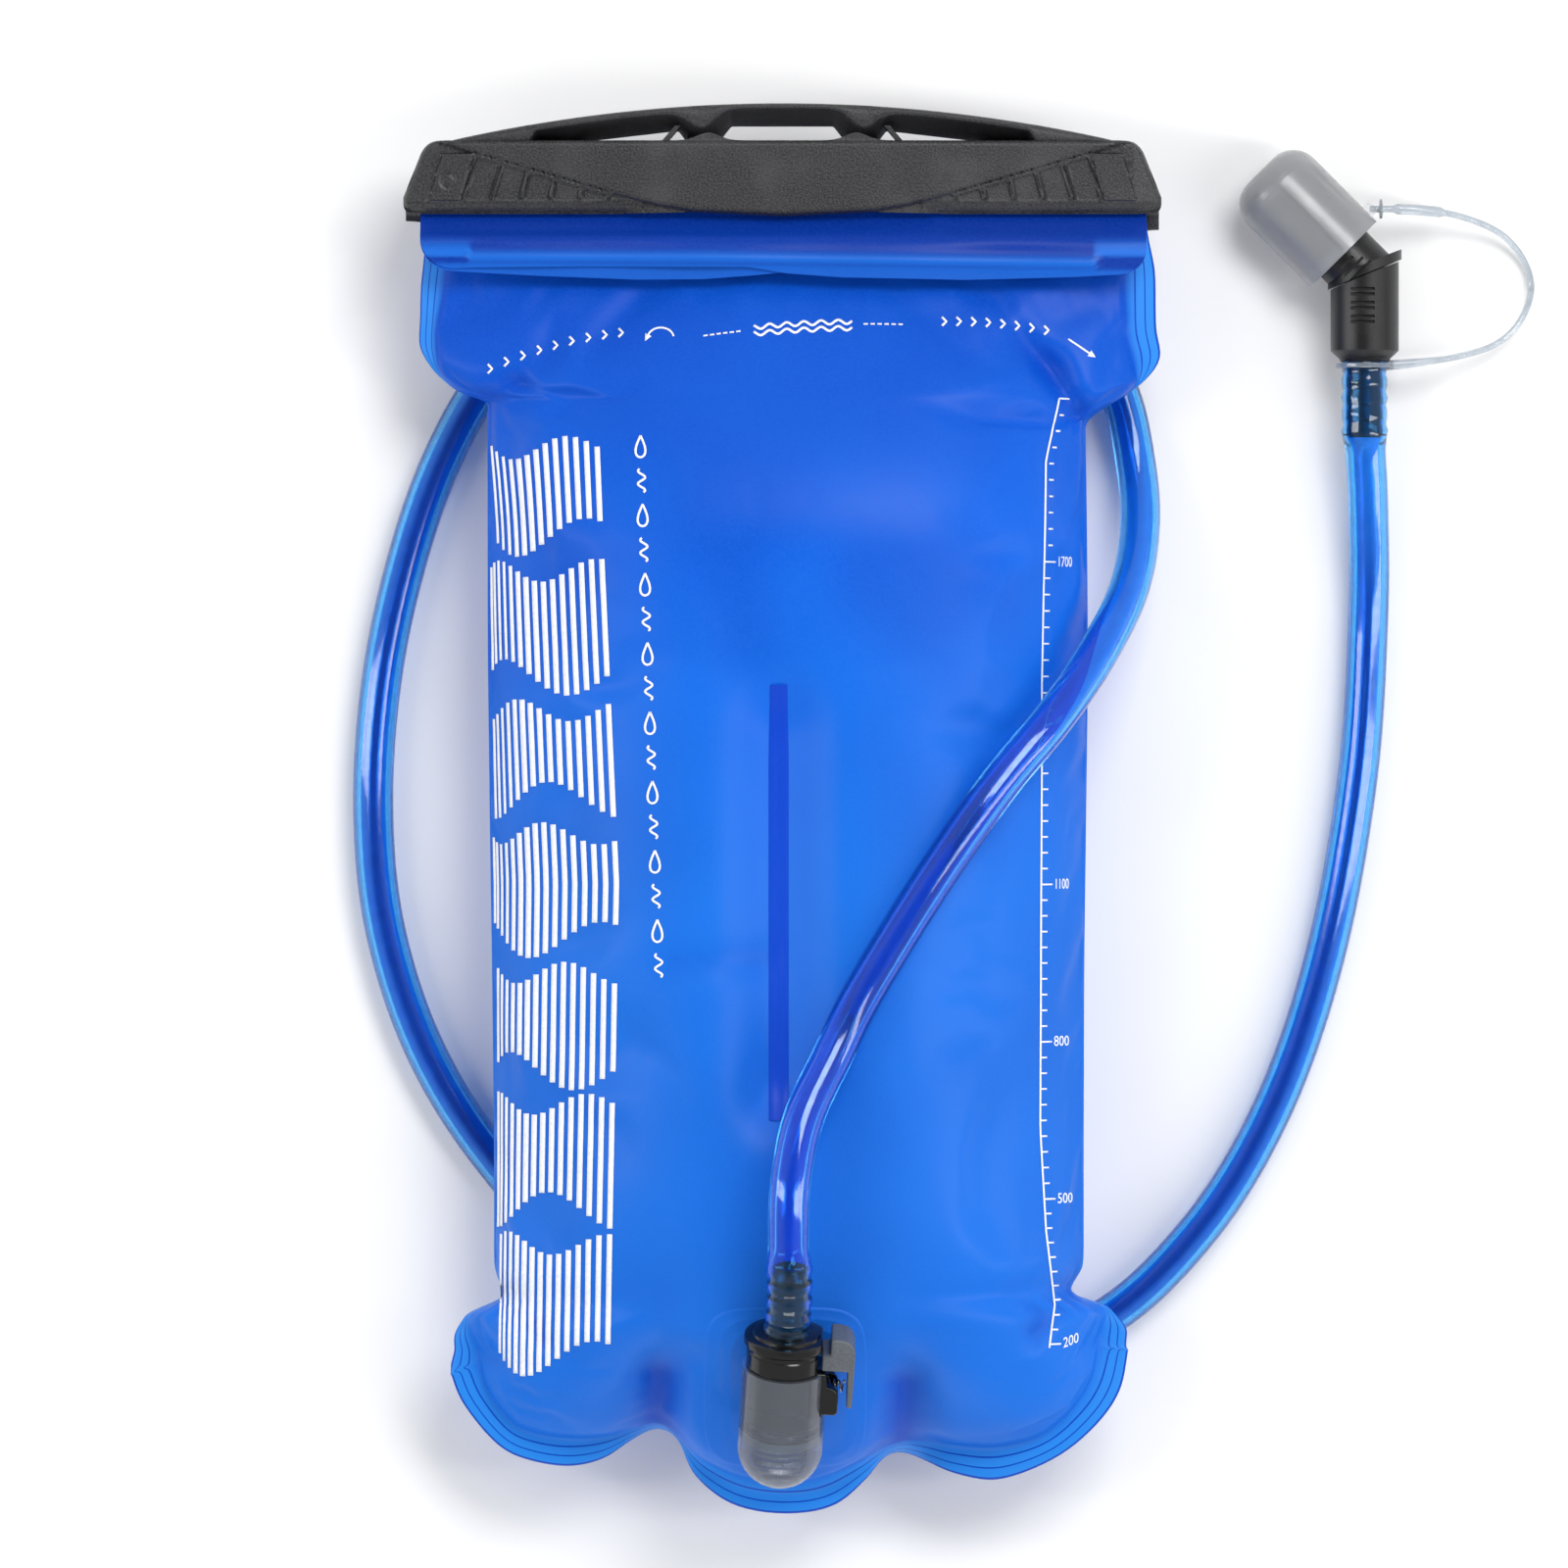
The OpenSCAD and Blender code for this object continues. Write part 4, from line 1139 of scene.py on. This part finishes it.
def arrow(points, width, head):
    """A thin line with a solid head at its end."""
    stroke(points, width)
    tip, back = np.array(points[-1], float), np.array(points[-2], float)
    ahead = (tip - back) / np.hypot(*(tip - back))
    stroke([tip - ahead * 0.2, tip + ahead * head], (head * 1.1, 0.05))


def fill_arc(x):
    """Height of the fill line, which bows with the film."""
    return 118.3 - 0.00175 * (x - 22) ** 2


def chevron(x, y):
    """A small arrowhead that points right."""
    stroke([(x, y - 1), (x + 1.1, y + 0.1), (x, y + 1.2)], 0.55)


def print_fill_line():
    """A dashed fill line with a wave at its middle, and arrows for the fold and for the slide."""
    for start, stop in ((-19.3, -9.7), (19.8, 30)):
        for x in np.linspace(start, stop, 7)[:-1]:
            stroke([(x, fill_arc(x)), (x + 1.1, fill_arc(x + 1.1))], 0.4)
    for lift in (-1, 0.6):
        xs = np.linspace(-7, 17, 60)
        stroke([(x, fill_arc(x) + lift + 0.55 * math.sin(x * 1.5)) for x in xs], 0.6)
    for x in np.linspace(-72, -40, 9):
        chevron(x, 116.6 - 0.0052 * max(0, -30 - x) ** 2)
    turn = np.radians(np.linspace(10, 165, 12))
    arrow([(-29.7 + 3.2 * math.cos(a), 114.8 + 2.6 * math.sin(a)) for a in turn], 0.45, 1.6)
    for x in np.linspace(39, 64, 8):
        chevron(x, 118.9 - 0.0042 * max(0, x - 42) ** 2)
    arrow([(69.9, 114.8), (75.2, 111.2)], 0.45, 1.6)


def add_numbers():
    """The scale's numbers, each a small flat mesh that follows the film."""
    made = []
    for y, digits in SCALE_MARKS:
        curve = bpy.data.curves.new("number", "FONT")
        curve.body, curve.size, curve.align_y, curve.resolution_u = digits, 4.2, "CENTER", 3
        label = bpy.data.objects.new("number", curve)
        scene.collection.objects.link(label)
        bpy.context.view_layer.update()
        graph = bpy.context.evaluated_depsgraph_get()
        mesh = bpy.data.meshes.new_from_object(label.evaluated_get(graph))
        bpy.data.objects.remove(label)
        at = scale_x(y) + 3.4
        squeeze = 0.44 if len(digits) == 4 else 0.62
        lean = 0.35 if digits == "200" else 0.0
        for v in mesh.vertices:
            px, py = at + v.co.x * squeeze, y + v.co.y * 0.85 + v.co.x * squeeze * lean
            v.co = Vector((px, py, film.height(px, py) + INK_LIFT)) * MM
        mesh.materials.clear()
        mesh.materials.append(INK)
        number = bpy.data.objects.new("number", mesh)
        scene.collection.objects.link(number)
        made.append(number)
    return made


def add_prints():
    """All the white prints as one thin piece of ink that lies on the film."""
    print_stripes()
    print_drops()
    print_scale()
    print_fill_line()
    points, faces = [], []
    for strip in PRINTS:
        base = len(points)
        points += film.print_on(strip.reshape(-1, 2), INK_LIFT).tolist()
        faces += [(base + 2 * k, base + 2 * k + 1, base + 2 * k + 3, base + 2 * k + 2)
                  for k in range(len(strip) - 1)]
    flat = piece("ink", points, faces, INK)
    ink = joined("ink_prints", [flat] + add_numbers())
    m = ink.modifiers.new("thickness", "SOLIDIFY")
    m.thickness, m.offset = 0.08 * MM, 0
    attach(ink, "bladder")


add_prints()


# ---- Tether ---------------------------------------------------------------------------------

TETHER = [[149, 109.1, 12], [158, 110, 11], [167, 111.5, 8], [176, 114.5, 5], [182, 120, 3],
          [185, 128, 2], [183, 135.5, 2.5], [177, 142, 5], [167, 146, 8], [157, 147.4, 10.8],
          [147.3, 147.6, 12]]
TETHER_ROOT = [144.6, 147.6, 12]
TETHER_R = 0.8


def rod(name, line, radius, sides, finish, up=(0, 0, 1)):
    """A solid round rod along a line; radius may change along it."""
    rings = swept(line, np.broadcast_to(radius, len(line)), sides, up)
    points = np.vstack([rings.reshape(-1, 3), line[:1], line[-1:]])
    n = len(line) * sides
    faces = grid_faces(len(line), sides, ring=True)
    faces += [((i + 1) % sides, i, n) for i in range(sides)]
    faces += [(n - sides + i, n - sides + (i + 1) % sides, n + 1) for i in range(sides)]
    return outward(piece(name, points, faces, finish, sharp=50))


def add_tether():
    """The clear tether in two halves: one from the ring at the tube's end, and the other on to the
    disc at the cap."""
    line = catmull(TETHER, 8)
    half = int(np.argmin(np.abs(line[:, 1] - 128)))
    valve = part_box("valve_body")
    hub_x = (valve[0].x + valve[1].x) / 2 / MM
    hub_z = (valve[0].z + valve[1].z) / 2 / MM
    ring_profile = [(7.2, 0.35), (7.0, 0.6), (5.4, 0.6), (5.15, 0.35), (5.15, -0.35), (5.4, -0.6), (7.0, -0.6),
                    (7.2, -0.35), (7.2, 0.35)]
    place = (Matrix.Translation(Vector((hub_x, 109.0, hub_z)) * MM)
             @ Matrix.Rotation(math.radians(-90), 4, "X"))
    ring = turned("ring", ring_profile, TETHER_CLEAR, place, steps=48)
    swell = lerp(1.25, TETHER_R, smooth(np.arange(half + 1) / 14))
    lower = joined("tether_lower", [rod("lower", line[:half + 1], swell, 12, TETHER_CLEAR), ring])
    rest = np.vstack([line[half:], TETHER_ROOT])
    away = np.arange(len(rest))[::-1]
    swell = np.where(away < 5, 0.8, np.where(away < 14, 1.3, TETHER_R))
    upper_rod = rod("upper", rest, swell, 12, TETHER_CLEAR)
    disc_profile = [(0, 0.5), (1.6, 0.5), (2.35, 0.3), (2.45, 0), (2.35, -0.3), (1.6, -0.5), (0, -0.5)]
    disc_place = (Matrix.Translation(Vector((147.4, 147.6, 12)) * MM)
                  @ Matrix.Rotation(math.radians(90), 4, "Y"))
    disc = turned("disc", disc_profile, TETHER_CLEAR, disc_place, steps=32)
    upper = joined("tether_upper", [upper_rod, disc])
    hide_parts("cap_tether")
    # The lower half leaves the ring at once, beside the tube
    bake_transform(lower)
    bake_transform(upper)


add_tether()


# ---- Hose plug and latch button ---------------------------------------------------------------


def port_block(name, outline, low, high, finish, round_mm):
    """A bevelled slab: outline in (right, along the plug), from low to high above the bag."""
    n = len(outline)
    place = PORT @ Matrix(((1, 0, 0, 0), (0, 0, -1, 0), (0, 1, 0, 0), (0, 0, 0, 1)))
    points = [place @ Vector((px, py, pz)) for pz in (low, high) for px, py in outline]
    faces = [tuple(reversed(range(n))), tuple(range(n, 2 * n))]
    faces += [(k, (k + 1) % n, n + (k + 1) % n, n + k) for k in range(n)]
    block = outward(piece(name, points, faces, finish))
    return apply_stack(bevelled(block, round_mm, 3)) if round_mm else block


def carve(obj, cutter):
    """Takes the cutter out of obj, and removes the cutter."""
    cut = obj.modifiers.new("cut", "BOOLEAN")
    cut.object, cut.operation, cut.solver = cutter, "DIFFERENCE", "EXACT"
    apply_stack(obj)
    bpy.data.objects.remove(cutter)


def port_place():
    """The port's frame for a turned shape, in metres."""
    return Matrix.Scale(MM, 4) @ PORT @ Matrix.Scale(1 / MM, 4)


def add_plug():
    """The hose plug: nose, stepped collar, barbed stem and the block that the latch hooks under."""
    barbs = []
    for k in range(4):
        foot = 10.5 + 4 * k
        barbs = [(3.5, foot + 3.4), (4.72, foot + 0.9), (4.72, foot), (3.5, foot - 0.3)] + barbs
    profile = ([(2.6, 27), (3.7, 27), (4.1, 26.4)] + barbs
               + [(4.2, 9.6), (7.2, 9.4), (8.0, 9.0), (8.3, 8.5), (9.4, 8.4), (10.2, 7.9), (10.35, 7.2),
                  (10.3, 6.4), (9.7, 5.7), (9.2, 5.4), (9.2, 4.6), (9.45, 4.3), (9.45, 0.5), (9.2, 0.3),
                  (7.54, 0.2), (7.54, -14.2), (7.3, -14.4), (2.6, -14.4), (2.6, 27)])
    stem = turned("stem", profile, GLOSS, port_place(), steps=72, sharp=30)
    block = port_block("block", [(4.5, -10.6), (12.6, -10.6), (13.2, -9.9), (13.2, -5.0), (12.2, -3.6),
                                 (10.4, -3.2), (10.0, 0.4), (4.5, 0.4)], -5, 5.4, GLOSS, 0.7)
    # Room for the button's foot, for its thumb plate and for its spring
    for outline, half in (([(5.6, 0.5), (11, 0.5), (11, 5.3), (5.6, 5.3)], 5.3),
                          ([(8.6, 5.2), (11, 5.2), (11, 9.7), (8.6, 9.7)], 5.3)):
        carve(stem, port_block("room", outline, -half, half, GLOSS, 0))
    room = [(9.2, -6.9), (14, -6.9), (14, -3.1), (9.2, -3.1)]
    carve(block, port_block("room", room, -1.9, 1.9, GLOSS, 0))
    plug = joined("hose_plug_moulding", [stem, block])
    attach(plug, "bladder")
    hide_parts("hose_plug")


def add_button():
    """The grey latch button: a thumb plate over the collar's side and a skirt beside the block."""
    button = port_block("latch_button_moulding",
                        [(8.8, 0.9), (15.2, 0.9), (15.3, -8.8), (16.6, -8.8), (16.8, 5.6), (16.3, 7.6),
                         (14.9, 9.0), (12.6, 9.4), (10.9, 9.4), (10.8, 5.1), (8.8, 5.1)], -5, 4.7, GREY, 0.5)
    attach(button, "button")
    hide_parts("latch_button")


def add_spring(name, node_name, foot, along, length, radius, wire, turns):
    """A coil from its foot along an axis."""
    along = Vector(along).normalized()
    side = along.orthogonal().normalized()
    other = along.cross(side)
    turn = np.linspace(0, 2 * math.pi * turns, 18 * turns + 1)
    rise = np.linspace(wire, length - wire, len(turn))
    line = (np.array(foot) + np.outer(rise, along)
            + radius * (np.outer(np.cos(turn), side) + np.outer(np.sin(turn), other)))
    coil = rod(name, line, wire, 8, STEEL, up=tuple(along))
    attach(coil, "bladder")
    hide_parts(node_name)
    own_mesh(coil)


add_plug()
add_button()
add_spring("latch_spring_coil", "latch_spring", PORT @ Vector((9.5, 0, -5)), -press_axis, 5.5, 1.4, 0.22, 4)
add_spring("poppet_spring_coil", "poppet_spring", PORT @ Vector((0, 0, -28.2)), plug_axis, 7.9, 2.6, 0.28, 5)


# ---- Finishes of the CAD pieces that stay ------------------------------------------------------

KEPT = {"port_housing": HOUSING, "port_flange": STRIP, "poppet": WHITE, "poppet_seal": RUBBER,
        "plug_o_ring": RUBBER, "valve_body": NYLON, "valve_elbow": NYLON, "swivel_o_ring": RUBBER,
        "bite_piece": SILICONE, "dust_cap": CAP}
for name, material in KEPT.items():
    for slot in frame["nodes"][name].material_slots:
        slot.material = material
